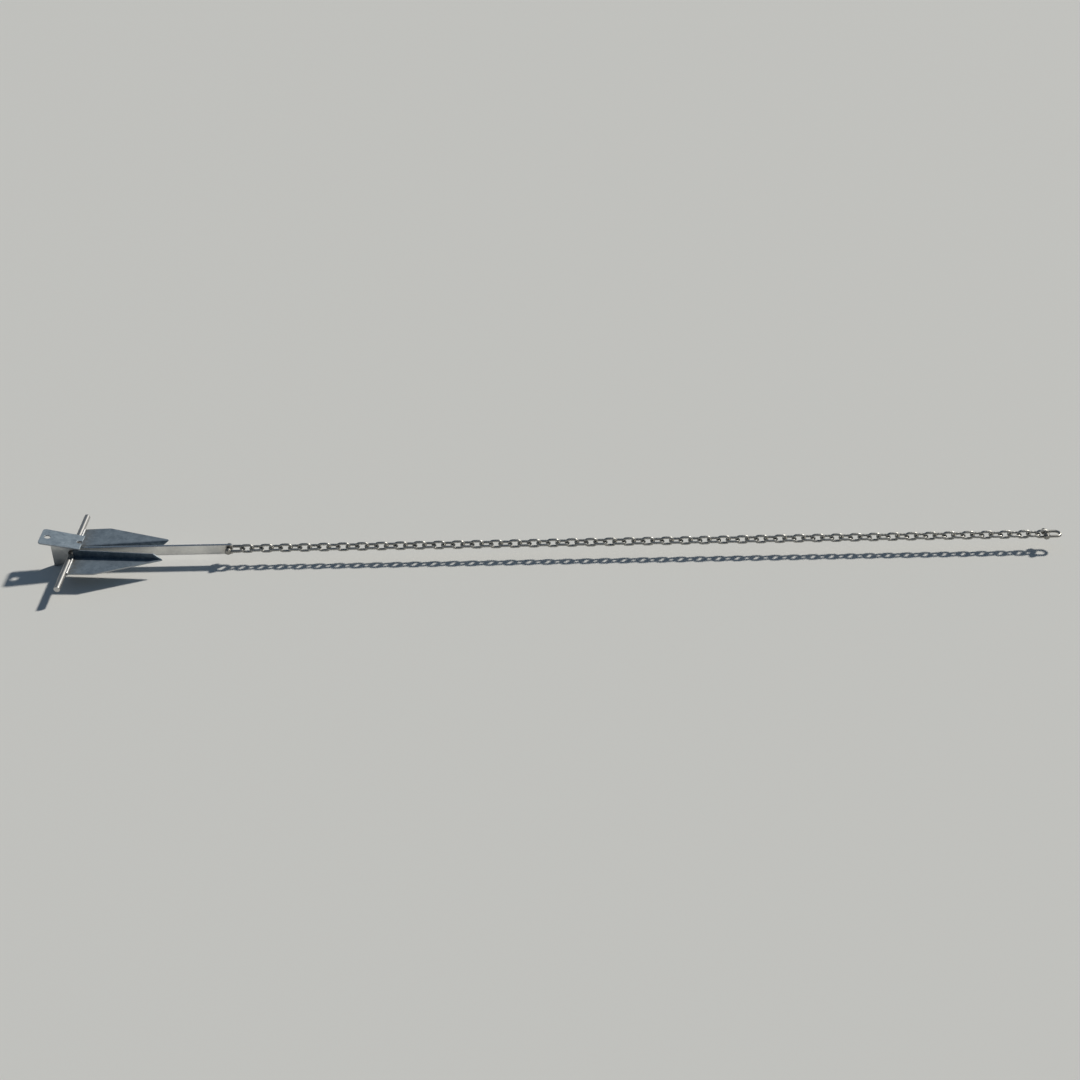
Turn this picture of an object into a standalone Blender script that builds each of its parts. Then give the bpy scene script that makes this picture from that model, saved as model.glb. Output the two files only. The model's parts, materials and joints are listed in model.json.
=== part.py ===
"""Small fluke anchor: crown, swinging shank, two D-shackles and a length of short-link chain.

Metres. +X runs from the crown to the chain's free end, +Y across the flukes, +Z up.
The floor is Z = 0 and the origin lies on it, at the middle of the crown's heel.
"""

import math

import bmesh
import bpy
from mathutils import Matrix, Vector

MM = 0.001

# Clearances
SEAT_GAP = 0.3 * MM
WELD_OVERLAP = 0.4 * MM
PALM_FLANGE_CLEARANCE = 2.4 * MM
SLOT_SIDE_CLEARANCE = 2.25 * MM
SLOT_END_CLEARANCE = 1.5 * MM

# Stock
STOCK_DIAMETER = 16 * MM
STOCK_LENGTH = 357 * MM
STOCK_CHAMFER = 1 * MM

# Flukes, measured from the stock's axis on the near side
FLUKE_PLATE = 4 * MM
FLUKE_ROOT_INNER_Y = 25 * MM
FLUKE_ROOT_WIDTH = 84 * MM
FLUKE_FLARE = 3.3 * MM
FLUKE_WIDEST_X = 78 * MM
FLUKE_TIP_X = 245.6 * MM
FLUKE_TIP_Y = 49.8 * MM
FLUKE_NOSE_LENGTH = 8.9 * MM
FLUKE_NOSE_WIDTH = 3.1 * MM
FLANGE_ROOT_HEIGHT = 22 * MM
FLANGE_END_HEIGHT = 17.8 * MM
FLANGE_NOSE_LENGTH = 14 * MM

# Palm, which rises from its front edge to its rear one
PALM_PLATE = 4 * MM
PALM_REAR_X = -75.7 * MM
PALM_FRONT_X = 29.1 * MM
PALM_RISE = 23.8 * MM
PALM_REAR_WIDTH = 71.6 * MM
PALM_FRONT_WIDTH = 65.6 * MM
PALM_REAR_CORNER = 9 * MM
PALM_FRONT_CORNER = 2 * MM
TRIP_HOLE_DIAMETER = 16 * MM
TRIP_HOLE_SETBACK = 17.7 * MM

# Crown web and cheeks
WEB_REAR_X = -53.6 * MM
WEB_HORN_X = 10 * MM
HEEL_DROP = 41.2 * MM
HEEL_LENGTH = 7 * MM
CHEEK_PLATE = 4 * MM
CHEEK_REAR_X = -33 * MM
CHEEK_REAR_DEPTH = 22 * MM
CHEEK_BOSS_WALL = 5 * MM

# Shank
SHANK_HEIGHT = 28.4 * MM
SHANK_PLATE = 7 * MM
SHANK_PIN_X = 411.3 * MM
SHANK_END_MARGIN = 11.2 * MM
SHANK_END_CORNER = 3 * MM
SHANK_SWING = math.radians(30)

# D-shackles
SHACKLE_WIRE = 8 * MM
SHACKLE_INSIDE_WIDTH = 17 * MM
SHACKLE_REACH = 44 * MM
SHACKLE_EYE_WALL = 4.5 * MM
SHACKLE_EYE_LENGTH = 9 * MM
SHACKLE_PIN_DIAMETER = 8 * MM
SHACKLE_HEAD_RIM = 2.5 * MM
SHACKLE_HEAD_LENGTH = 2 * MM
SHACKLE_PIN_TAIL = 1.5 * MM

# Chain
LINK_WIRE = 7 * MM
LINK_INSIDE_WIDTH = 12.7 * MM
LINK_INSIDE_LENGTH = 25.25 * MM
LINK_COUNT = 85
LINKS_PER_RUN = 3

# Facets
STOCK_SIDES = 24
PIN_SIDES = 16
SHACKLE_SIDES = 8
SHACKLE_BOW_STEPS = 10
LINK_QUARTER_BENDS = 3
LINK_SIDES = 6
ARC_STEP = math.radians(15)
SHARP_ANGLE = math.radians(40)
RIM_ANGLE = math.radians(60)
MERGE_DISTANCE = 0.001 * MM

# Values that follow from the sizes above
STOCK_RADIUS = STOCK_DIAMETER / 2
FLUKE_ROOT_X = STOCK_RADIUS + SEAT_GAP
FLUKE_ROOT_OUTER_Y = FLUKE_ROOT_INNER_Y + FLUKE_ROOT_WIDTH
FLUKE_WIDEST_Y = FLUKE_ROOT_OUTER_Y + FLUKE_FLARE
FOLD_END_X = FLUKE_TIP_X - FLUKE_NOSE_LENGTH
FOLD_END_Y = FLUKE_TIP_Y - FLUKE_NOSE_WIDTH
FOLD_SINK = FLUKE_PLATE / 3
SHANK_HALF = SHANK_HEIGHT / 2
CHEEK_Y = SHANK_PLATE / 2 + SEAT_GAP + CHEEK_PLATE / 2
CHEEK_BOSS_RADIUS = STOCK_RADIUS + CHEEK_BOSS_WALL
PALM_FRONT_Z = FLANGE_ROOT_HEIGHT + PALM_FLANGE_CLEARANCE + PALM_PLATE / 2
PALM_REAR_Z = PALM_FRONT_Z + PALM_RISE
PALM_TILT = math.atan2(PALM_RISE, PALM_FRONT_X - PALM_REAR_X)
PALM_LENGTH = math.hypot(PALM_RISE, PALM_FRONT_X - PALM_REAR_X)
SLOT_HALF = SHANK_PLATE / 2 + SLOT_SIDE_CLEARANCE
SHACKLE_LEG_Y = (SHACKLE_INSIDE_WIDTH + SHACKLE_WIRE) / 2
SHACKLE_BOW_X = SHACKLE_REACH - SHACKLE_WIRE / 2
PIN_RADIUS = SHACKLE_PIN_DIAMETER / 2
LINK_BENDS = 4 * LINK_QUARTER_BENDS
LINK_RADIUS = (LINK_INSIDE_WIDTH + LINK_WIRE) / 2
WELDED_PITCH = LINK_INSIDE_LENGTH + WELD_OVERLAP
RUN_COUNT = math.ceil(LINK_COUNT / LINKS_PER_RUN)
LINK_END_WIRE_X = LINK_INSIDE_LENGTH / 2 + LINK_WIRE / 2

# Finishes: colour, then roughness
METALLIC = 0.9
PLATE_STEEL = ((0.36, 0.40, 0.44, 1.0), 0.5)
STOCK_STEEL = ((0.52, 0.52, 0.51, 1.0), 0.3)
SHANK_STEEL = ((0.47, 0.47, 0.45, 1.0), 0.4)
SHACKLE_STEEL = ((0.17, 0.17, 0.16, 1.0), 0.4)
CHAIN_STEEL = ((0.14, 0.145, 0.13, 1.0), 0.35)

QUARTER = math.pi / 2
UPRIGHT = (QUARTER, 0, 0)


def empty_scene():
    """Removes whatever the file opened with."""
    for old in list(bpy.data.objects):
        bpy.data.objects.remove(old, do_unlink=True)


def new_collection(name):
    made = bpy.data.collections.new(name)
    bpy.context.scene.collection.children.link(made)
    return made


def steel(name, finish):
    """A galvanised steel of its own for one piece."""
    colour, roughness = finish
    made = bpy.data.materials.new(name)
    made.use_nodes = True
    shader = made.node_tree.nodes["Principled BSDF"]
    shader.inputs["Base Color"].default_value = colour
    shader.inputs["Metallic"].default_value = METALLIC
    shader.inputs["Roughness"].default_value = roughness
    return made


def add_piece(name, mesh, finish):
    """Links a mesh into the anchor's collection under its own name and material."""
    piece = bpy.data.objects.new(name, mesh)
    ANCHOR.objects.link(piece)
    if not mesh.materials:
        mesh.materials.append(None)
    piece.material_slots[0].link = "OBJECT"
    piece.material_slots[0].material = steel(name, finish)
    return piece


def add_frame(name, parent, location):
    """An empty on a joint's axis, which carries the pieces that turn about it."""
    frame = bpy.data.objects.new(name, None)
    frame.location = location
    frame.parent = parent
    frame.empty_display_size = STOCK_DIAMETER
    ANCHOR.objects.link(frame)
    return frame


def place(piece, parent, location=(0, 0, 0), rotation=(0, 0, 0)):
    piece.parent = parent
    piece.location = location
    piece.rotation_euler = rotation
    return piece


def take_mesh(source):
    """The evaluated mesh of a working object, welded, with the object removed."""
    bpy.context.view_layer.update()
    graph = bpy.context.evaluated_depsgraph_get()
    mesh = bpy.data.meshes.new_from_object(source.evaluated_get(graph))
    mesh.transform(source.matrix_world)
    mesh.materials.clear()
    shape = bmesh.new()
    shape.from_mesh(mesh)
    bmesh.ops.remove_doubles(shape, verts=shape.verts, dist=MERGE_DISTANCE)
    bmesh.ops.recalc_face_normals(shape, faces=shape.faces)
    shape.to_mesh(mesh)
    shape.free()
    bpy.data.objects.remove(source, do_unlink=True)
    return mesh


def arc(centre, radius, start, end):
    """Points on a circle from one angle to another, both ends included."""
    steps = max(2, math.ceil(abs(end - start) / ARC_STEP))
    angles = [start + (end - start) * i / steps for i in range(steps + 1)]
    return [(centre[0] + radius * math.cos(a), centre[1] + radius * math.sin(a)) for a in angles]


def round_hole(centre, radius, sides):
    """A hole whose flats, and not its corners, lie at the radius."""
    corner = radius / math.cos(math.pi / sides)
    turn = 2 * math.pi / sides
    return [
        (centre[0] + corner * math.cos(i * turn), centre[1] + corner * math.sin(i * turn))
        for i in range(sides)
    ]


def plate_mesh(loops, thickness):
    """A flat plate in the XY plane: the first loop is its outline and the others are holes."""
    curve = bpy.data.curves.new("outline", "CURVE")
    curve.dimensions = "2D"
    curve.fill_mode = "BOTH"
    curve.extrude = thickness / 2
    for loop in loops:
        spline = curve.splines.new("POLY")
        spline.points.add(len(loop) - 1)
        spline.use_cyclic_u = True
        for point, (x, y) in zip(spline.points, loop):
            point.co = (x, y, 0, 1)
    outline = bpy.data.objects.new("outline", curve)
    CUTTERS.objects.link(outline)
    return take_mesh(outline)


def cylinder_mesh(radius, length, sides, centre=(0, 0, 0)):
    """A round bar along Y about its centre."""
    bpy.ops.mesh.primitive_cylinder_add(vertices=sides, radius=radius, depth=length)
    bar = bpy.context.object
    bar.rotation_euler = UPRIGHT
    bar.location = centre
    return take_mesh(bar)


def combine(base, others, operation):
    """The base mesh with each other mesh joined to it or cut from it."""
    working = bpy.data.objects.new("working", base)
    CUTTERS.objects.link(working)
    tools = []
    for number, mesh in enumerate(others):
        tool = bpy.data.objects.new(f"tool_{number}", mesh)
        tool.hide_render = True
        tool.display_type = "WIRE"
        CUTTERS.objects.link(tool)
        tools.append(tool)
        step = working.modifiers.new(f"step_{number}", "BOOLEAN")
        step.operation = operation
        step.solver = "EXACT"
        step.object = tool
    made = take_mesh(working)
    for tool in tools:
        bpy.data.objects.remove(tool, do_unlink=True)
    return made


def shade(piece):
    """Smooth round faces with the real edges kept."""
    piece.data.shade_smooth()
    piece.data.set_sharp_from_angle(angle=SHARP_ANGLE)
    return piece


def stock():
    """The rod across the crown, with broken edges at its ends."""
    mesh = cylinder_mesh(STOCK_RADIUS, STOCK_LENGTH, STOCK_SIDES)
    rod = add_piece("stock", mesh, STOCK_STEEL)
    rims = rod.modifiers.new("chamfer", "BEVEL")
    rims.width = STOCK_CHAMFER
    rims.segments = 1
    rims.limit_method = "ANGLE"
    rims.angle_limit = RIM_ANGLE
    return shade(rod)


def fluke_mesh():
    """The near fluke: a flat blade with its inner edge turned up, in one piece."""
    blade = plate_mesh(
        [
            [
                (FLUKE_ROOT_X, -FLUKE_ROOT_INNER_Y),
                (FLUKE_ROOT_X, -FLUKE_ROOT_OUTER_Y),
                (FLUKE_WIDEST_X, -FLUKE_WIDEST_Y),
                (FLUKE_TIP_X, -FLUKE_TIP_Y),
                (FOLD_END_X, -FOLD_END_Y),
            ]
        ],
        FLUKE_PLATE,
    )
    root = Vector((FLUKE_ROOT_X, -FLUKE_ROOT_INNER_Y, 0))
    fold = Vector((FOLD_END_X, -FOLD_END_Y, 0)) - root
    flange_end = fold.length - FOLD_SINK
    flange = plate_mesh(
        [
            [
                (0, -FOLD_SINK),
                (flange_end, -FOLD_SINK),
                (flange_end, FOLD_SINK),
                (fold.length - FLANGE_NOSE_LENGTH, FLANGE_END_HEIGHT),
                (0, FLANGE_ROOT_HEIGHT),
            ]
        ],
        FLUKE_PLATE,
    )
    along = fold.normalized()
    up = Vector((0, 0, 1))
    across = along.cross(up)
    stand = Matrix((along, up, across)).transposed().to_4x4()
    flange.transform(Matrix.Translation(root) @ stand)
    return combine(blade, [flange], "UNION")


def palm_underside(x):
    """Height of the palm's lower face over a place on the shank's line."""
    middle = PALM_FRONT_Z + (PALM_FRONT_X - x) * math.tan(PALM_TILT)
    return middle - PALM_PLATE / 2 / math.cos(PALM_TILT)


def seat_under_palm(x):
    """Height of an edge that is set against the palm's lower face."""
    return palm_underside(x) - SEAT_GAP / math.cos(PALM_TILT)


def slot_centre_x():
    """Where the palm's slot has its round end, so that the shank's top edge passes at full swing."""
    edge_at_stock = SHANK_HALF / math.cos(SHANK_SWING)
    meet_x = (palm_underside(0) - edge_at_stock) / (math.tan(SHANK_SWING) + math.tan(PALM_TILT))
    reach = (PALM_FRONT_X - meet_x) / math.cos(PALM_TILT) + SLOT_END_CLEARANCE
    return PALM_LENGTH - reach + math.sqrt(SLOT_HALF**2 - (SHANK_PLATE / 2) ** 2)


def palm_mesh():
    """The tilted plate, drawn flat from its rear edge along +X."""
    rear_y = PALM_REAR_WIDTH / 2 - PALM_REAR_CORNER
    front_x = PALM_LENGTH - PALM_FRONT_CORNER
    front_y = PALM_FRONT_WIDTH / 2 - PALM_FRONT_CORNER
    outline = arc((PALM_REAR_CORNER, -rear_y), PALM_REAR_CORNER, -2 * QUARTER, -QUARTER)
    outline += arc((front_x, -front_y), PALM_FRONT_CORNER, -QUARTER, 0)
    outline.append((PALM_LENGTH, -SLOT_HALF))
    outline += arc((slot_centre_x(), 0), SLOT_HALF, -QUARTER, -3 * QUARTER)
    outline.append((PALM_LENGTH, SLOT_HALF))
    outline += arc((front_x, front_y), PALM_FRONT_CORNER, 0, QUARTER)
    outline += arc((PALM_REAR_CORNER, rear_y), PALM_REAR_CORNER, QUARTER, 2 * QUARTER)
    hole = round_hole((TRIP_HOLE_SETBACK, 0), TRIP_HOLE_DIAMETER / 2, STOCK_SIDES)
    return plate_mesh([outline, hole], PALM_PLATE)


def web_mesh():
    """The upright crown plate in the shank's plane, from the palm down to the heel.

    Its mouth clears the shank's eye, and the two straight lips stop the shank at its swing.
    """
    mouth = SHANK_HALF + SEAT_GAP
    lip_start = QUARTER + SHANK_SWING
    lip_length = (WEB_HORN_X - mouth * math.cos(lip_start)) / math.cos(SHANK_SWING)
    lip_z = mouth * math.sin(lip_start) + lip_length * math.sin(SHANK_SWING)
    outline = [
        (WEB_REAR_X, -HEEL_DROP),
        (WEB_REAR_X + HEEL_LENGTH, -HEEL_DROP),
        (WEB_HORN_X, -seat_under_palm(WEB_HORN_X)),
        (WEB_HORN_X, -lip_z),
    ]
    outline += arc((0, 0), mouth, -lip_start, lip_start - 2 * math.pi)
    outline += [
        (WEB_HORN_X, lip_z),
        (WEB_HORN_X, seat_under_palm(WEB_HORN_X)),
        (WEB_REAR_X, seat_under_palm(WEB_REAR_X)),
    ]
    return plate_mesh([outline], SHANK_PLATE)


def cheek_mesh():
    """A side plate beside the shank's eye, from round the stock up to the palm.

    Its lower edge runs from the rear corner to touch the round of the boss.
    """
    rear_top = seat_under_palm(CHEEK_REAR_X)
    rear_bottom = rear_top - CHEEK_REAR_DEPTH
    touch = math.acos(CHEEK_BOSS_RADIUS / math.hypot(CHEEK_REAR_X, rear_bottom))
    boss_start = math.atan2(rear_bottom, CHEEK_REAR_X) + touch
    outline = [
        (CHEEK_BOSS_RADIUS, seat_under_palm(CHEEK_BOSS_RADIUS)),
        (CHEEK_REAR_X, rear_top),
        (CHEEK_REAR_X, rear_bottom),
    ]
    outline += arc((0, 0), CHEEK_BOSS_RADIUS, boss_start, 4 * QUARTER)
    hole = round_hole((0, 0), STOCK_RADIUS + SEAT_GAP, STOCK_SIDES)
    return plate_mesh([outline, hole], CHEEK_PLATE)


def shank_mesh():
    """The flat bar with a round eye on the stock and a pin hole at its far end."""
    end = SHANK_PIN_X + SHANK_END_MARGIN
    corner_x = end - SHANK_END_CORNER
    corner_z = SHANK_HALF - SHANK_END_CORNER
    outline = arc((0, 0), SHANK_HALF, QUARTER, 3 * QUARTER)
    outline += arc((corner_x, -corner_z), SHANK_END_CORNER, -QUARTER, 0)
    outline += arc((corner_x, corner_z), SHANK_END_CORNER, 0, QUARTER)
    eye = round_hole((0, 0), STOCK_RADIUS + SEAT_GAP, STOCK_SIDES)
    pin_hole = round_hole((SHANK_PIN_X, 0), PIN_RADIUS + SEAT_GAP, PIN_SIDES)
    return plate_mesh([outline, eye, pin_hole], SHANK_PLATE)


def shackle_mesh():
    """The bow of a D-shackle with its pin's axis at the origin and its round end towards +X."""
    bow_centre = SHACKLE_BOW_X - SHACKLE_LEG_Y
    route = [(0.0, -SHACKLE_LEG_Y)]
    for step in range(SHACKLE_BOW_STEPS + 1):
        angle = math.pi * step / SHACKLE_BOW_STEPS - QUARTER
        route.append((bow_centre + SHACKLE_LEG_Y * math.cos(angle), SHACKLE_LEG_Y * math.sin(angle)))
    route.append((0.0, SHACKLE_LEG_Y))
    curve = bpy.data.curves.new("bow", "CURVE")
    curve.dimensions = "3D"
    curve.bevel_depth = SHACKLE_WIRE / 2
    curve.bevel_resolution = SHACKLE_SIDES // 2 - 2
    curve.use_fill_caps = True
    spline = curve.splines.new("POLY")
    spline.points.add(len(route) - 1)
    for point, (x, y) in zip(spline.points, route):
        point.co = (x, y, 0, 1)
    bow = bpy.data.objects.new("bow", curve)
    CUTTERS.objects.link(bow)
    eyes = [
        cylinder_mesh(PIN_RADIUS + SHACKLE_EYE_WALL, SHACKLE_EYE_LENGTH, PIN_SIDES, (0, y, 0))
        for y in (-SHACKLE_LEG_Y, SHACKLE_LEG_Y)
    ]
    solid = combine(take_mesh(bow), eyes, "UNION")
    hole_radius = (PIN_RADIUS + SEAT_GAP) / math.cos(math.pi / PIN_SIDES)
    hole = cylinder_mesh(hole_radius, 2 * (SHACKLE_LEG_Y + SHACKLE_EYE_LENGTH), PIN_SIDES)
    return combine(solid, [hole], "DIFFERENCE")


def pin_mesh():
    """The shackle's pin along Y, with its low head on the near side."""
    eye_face = SHACKLE_LEG_Y + SHACKLE_EYE_LENGTH / 2
    tail = eye_face + SHACKLE_PIN_TAIL
    head_y = -eye_face - SEAT_GAP - SHACKLE_HEAD_LENGTH / 2
    shaft = cylinder_mesh(PIN_RADIUS, tail - head_y, PIN_SIDES, (0, (tail + head_y) / 2, 0))
    head = cylinder_mesh(PIN_RADIUS + SHACKLE_HEAD_RIM, SHACKLE_HEAD_LENGTH, PIN_SIDES, (0, head_y, 0))
    return combine(shaft, [head], "UNION")


def link_mesh(centre_x, level):
    """One link about a place on the chain's line, lying level or standing upright.

    A ring of wire is cut through its two sides, and its halves are drawn apart into straight legs.
    """
    half_bend = math.pi / LINK_BENDS
    ring_radius = LINK_RADIUS / math.cos(half_bend)
    inner_end = (ring_radius - LINK_WIRE / 2) * math.cos(half_bend)
    draw = LINK_INSIDE_LENGTH / 2 - inner_end
    bpy.ops.mesh.primitive_torus_add(
        major_radius=ring_radius,
        minor_radius=LINK_WIRE / 2,
        major_segments=LINK_BENDS,
        minor_segments=LINK_SIDES,
        rotation=(0, 0, half_bend),
    )
    mesh = take_mesh(bpy.context.object)
    for vertex in mesh.vertices:
        vertex.co.x += math.copysign(draw, vertex.co.x)
    if not level:
        mesh.transform(Matrix.Rotation(QUARTER, 4, "X"))
    mesh.transform(Matrix.Translation((centre_x, 0, 0)))
    return mesh


def first_link_x(seat_wire):
    """Where a run's first link lies from the middle of the wire that it hangs on."""
    return LINK_INSIDE_LENGTH / 2 - SEAT_GAP - seat_wire / 2


def run_mesh(count, seat_wire):
    """Links locked in line, with the first one upright and the wire it hangs on at the origin."""
    start = first_link_x(seat_wire)
    links = [link_mesh(start + i * WELDED_PITCH, level=i % 2 == 1) for i in range(count)]
    if count == 1:
        return links[0]
    return combine(links[0], links[1:], "UNION")


def links_in_run(number):
    """How many links the run with this number holds, counted from 0."""
    return min(LINKS_PER_RUN, LINK_COUNT - number * LINKS_PER_RUN)


def run_end_x(number, seat_wire):
    """From a run's own joint to the end wire of its last link."""
    return first_link_x(seat_wire) + (links_in_run(number) - 1) * WELDED_PITCH + LINK_END_WIRE_X


def end_seat():
    """From the end wire of the last link back to the pin that lies in it."""
    return LINK_WIRE / 2 + SEAT_GAP + PIN_RADIUS


def chain(parent):
    """The runs of the chain, each carried by the last, and the empty for the end shackle's pin."""
    meshes = {}
    offset, quarter_turns = SHACKLE_BOW_X, 0
    for number in range(RUN_COUNT):
        count = links_in_run(number)
        seat_wire = SHACKLE_WIRE if number == 0 else LINK_WIRE
        if (count, seat_wire) not in meshes:
            meshes[count, seat_wire] = run_mesh(count, seat_wire)
        run = add_piece(f"chain_run_{number + 1:02d}", meshes[count, seat_wire], CHAIN_STEEL)
        parent = place(shade(run), parent, (offset, 0, 0), (quarter_turns * QUARTER, 0, 0))
        offset = run_end_x(number, seat_wire)
        quarter_turns = count % 2
    axis = add_frame("end_shackle_axis", parent, (offset - end_seat(), 0, 0))
    axis.rotation_euler.x = (quarter_turns - 1) * QUARTER
    return axis


def crown_place():
    """The stock's axis, so that the origin is on the floor at the middle of the heel."""
    return (-WEB_REAR_X - HEEL_LENGTH / 2, 0, HEEL_DROP)


def crown(axis):
    """What turns with the flukes: stock, flukes, palm, web and cheeks."""
    place(stock(), axis)
    blade = fluke_mesh()
    place(add_piece("near_fluke", blade, PLATE_STEEL), axis)
    place(add_piece("far_fluke", blade, PLATE_STEEL), axis, rotation=(math.pi, 0, 0))
    palm = add_piece("palm", palm_mesh(), PLATE_STEEL)
    place(palm, axis, (PALM_REAR_X, 0, PALM_REAR_Z), (0, PALM_TILT, 0))
    place(add_piece("crown_web", web_mesh(), SHANK_STEEL), axis, rotation=UPRIGHT)
    side_plate = cheek_mesh()
    place(add_piece("near_cheek", side_plate, SHANK_STEEL), axis, (0, -CHEEK_Y, 0), UPRIGHT)
    place(add_piece("far_cheek", side_plate, SHANK_STEEL), axis, (0, CHEEK_Y, 0), UPRIGHT)


def rode(axis):
    """What the shank carries: both shackles and the chain between them."""
    place(add_piece("shank", shank_mesh(), SHANK_STEEL), axis, rotation=UPRIGHT)
    bow, pin = shackle_mesh(), pin_mesh()
    pivot = add_frame("anchor_shackle_axis", axis, (SHANK_PIN_X, 0, 0))
    place(shade(add_piece("anchor_shackle", bow, SHACKLE_STEEL)), pivot)
    place(shade(add_piece("anchor_shackle_pin", pin, SHACKLE_STEEL)), pivot)
    end_pivot = chain(pivot)
    place(shade(add_piece("end_shackle", bow, SHACKLE_STEEL)), end_pivot)
    place(shade(add_piece("end_shackle_pin", pin, SHACKLE_STEEL)), end_pivot)


empty_scene()
ANCHOR = new_collection("boat_anchor")
CUTTERS = new_collection("boat_anchor_cutters")
CROWN_AXIS = add_frame("crown_axis", None, crown_place())
crown(CROWN_AXIS)
rode(add_frame("shank_axis", CROWN_AXIS, (0, 0, 0)))
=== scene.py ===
"""Looks of a small galvanised fluke anchor with its shackles and chain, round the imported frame."""

import json
import logging
import math
from dataclasses import dataclass, field, replace
from enum import Enum
from typing import Any, Callable, Optional, Union

import bpy
import numpy as np
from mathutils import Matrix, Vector, geometry


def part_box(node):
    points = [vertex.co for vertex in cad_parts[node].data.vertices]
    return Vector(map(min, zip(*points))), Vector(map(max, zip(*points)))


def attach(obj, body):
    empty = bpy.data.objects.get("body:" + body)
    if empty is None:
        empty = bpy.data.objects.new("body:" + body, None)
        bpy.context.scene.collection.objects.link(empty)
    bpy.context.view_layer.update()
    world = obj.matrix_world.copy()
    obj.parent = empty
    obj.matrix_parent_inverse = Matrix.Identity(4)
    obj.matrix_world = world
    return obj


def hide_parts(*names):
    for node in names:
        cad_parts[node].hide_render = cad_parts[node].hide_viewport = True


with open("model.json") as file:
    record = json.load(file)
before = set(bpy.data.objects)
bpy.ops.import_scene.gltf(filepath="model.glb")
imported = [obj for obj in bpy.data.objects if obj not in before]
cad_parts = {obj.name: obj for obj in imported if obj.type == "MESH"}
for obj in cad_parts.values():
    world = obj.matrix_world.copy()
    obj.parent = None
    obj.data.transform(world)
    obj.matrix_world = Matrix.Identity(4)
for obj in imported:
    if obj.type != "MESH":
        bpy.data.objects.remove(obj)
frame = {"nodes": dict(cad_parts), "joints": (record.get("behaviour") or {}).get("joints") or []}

Array = np.ndarray
Colour = tuple[float, float, float]
Pair = tuple[float, float]
Lay = Callable[[Array], Array]

LOG = logging.getLogger("anchor")
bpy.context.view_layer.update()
VALUES = ("wear", "stain", "grime")

MM = 0.001
QUARTER = math.pi / 2
TURN = 2 * math.pi
SEAT_GAP = 0.3 * MM
SAME_PLACE = 1e-4 * MM
STRAIGHT = 1e-4

AXIS_X = np.array((1.0, 0.0, 0.0))
AXIS_Y = np.array((0.0, 1.0, 0.0))
AXIS_Z = np.array((0.0, 0.0, 1.0))


class Body(str, Enum):
    """The frame's bodies that carry the anchor's own pieces."""

    CROWN = "crown"
    SHANK = "shank"
    ANCHOR_SHACKLE = "anchor_shackle"
    END_SHACKLE = "end_shackle"


class Slot(str, Enum):
    """The record's material slots."""

    PLATE = "plate_steel"
    STOCK = "stock_steel"
    SHANK = "shank_steel"
    SHACKLE = "shackle_steel"
    CHAIN = "chain_steel"


class Stand(Enum):
    """How a chain link lies on the chain's line."""

    UPRIGHT = "upright"
    LEVEL = "level"

    def other(self) -> "Stand":
        """The way that the next link lies."""
        return Stand.LEVEL if self is Stand.UPRIGHT else Stand.UPRIGHT


def joint_place(name: str) -> Array:
    """Where the named joint's axis lies in the frame, in metres."""
    found = next(joint for joint in frame["joints"] if joint["name"] == name)
    return np.array(found["pos_m"], float)


class Socket:
    """A value in a material's nodes; arithmetic on it adds Math nodes."""

    def __init__(self, graph: "NodeGraph", socket: Any) -> None:
        """Keeps the graph and the output socket that holds the value."""
        self.graph = graph
        self.socket = socket

    def _math(self, operation: str, first: Any, second: Any) -> "Socket":
        """One Math node on two values."""
        return self.graph.node("ShaderNodeMath", {"operation": operation}, {0: first, 1: second})

    def __add__(self, other: Any) -> "Socket":
        """Self plus other."""
        return self._math("ADD", self, other)

    __radd__ = __add__

    def __sub__(self, other: Any) -> "Socket":
        """Self less other."""
        return self._math("SUBTRACT", self, other)

    def __rsub__(self, other: Any) -> "Socket":
        """Other less self."""
        return self._math("SUBTRACT", other, self)

    def __mul__(self, other: Any) -> "Socket":
        """Self times other."""
        return self._math("MULTIPLY", self, other)

    __rmul__ = __mul__

    def between(self, low: float, high: float) -> "Socket":
        """A smooth step of the value from 0 at low to 1 at high."""
        inputs = {"Value": self, "From Min": low, "From Max": high}
        return self.graph.node("ShaderNodeMapRange", {"interpolation_type": "SMOOTHSTEP"}, inputs)


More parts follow.
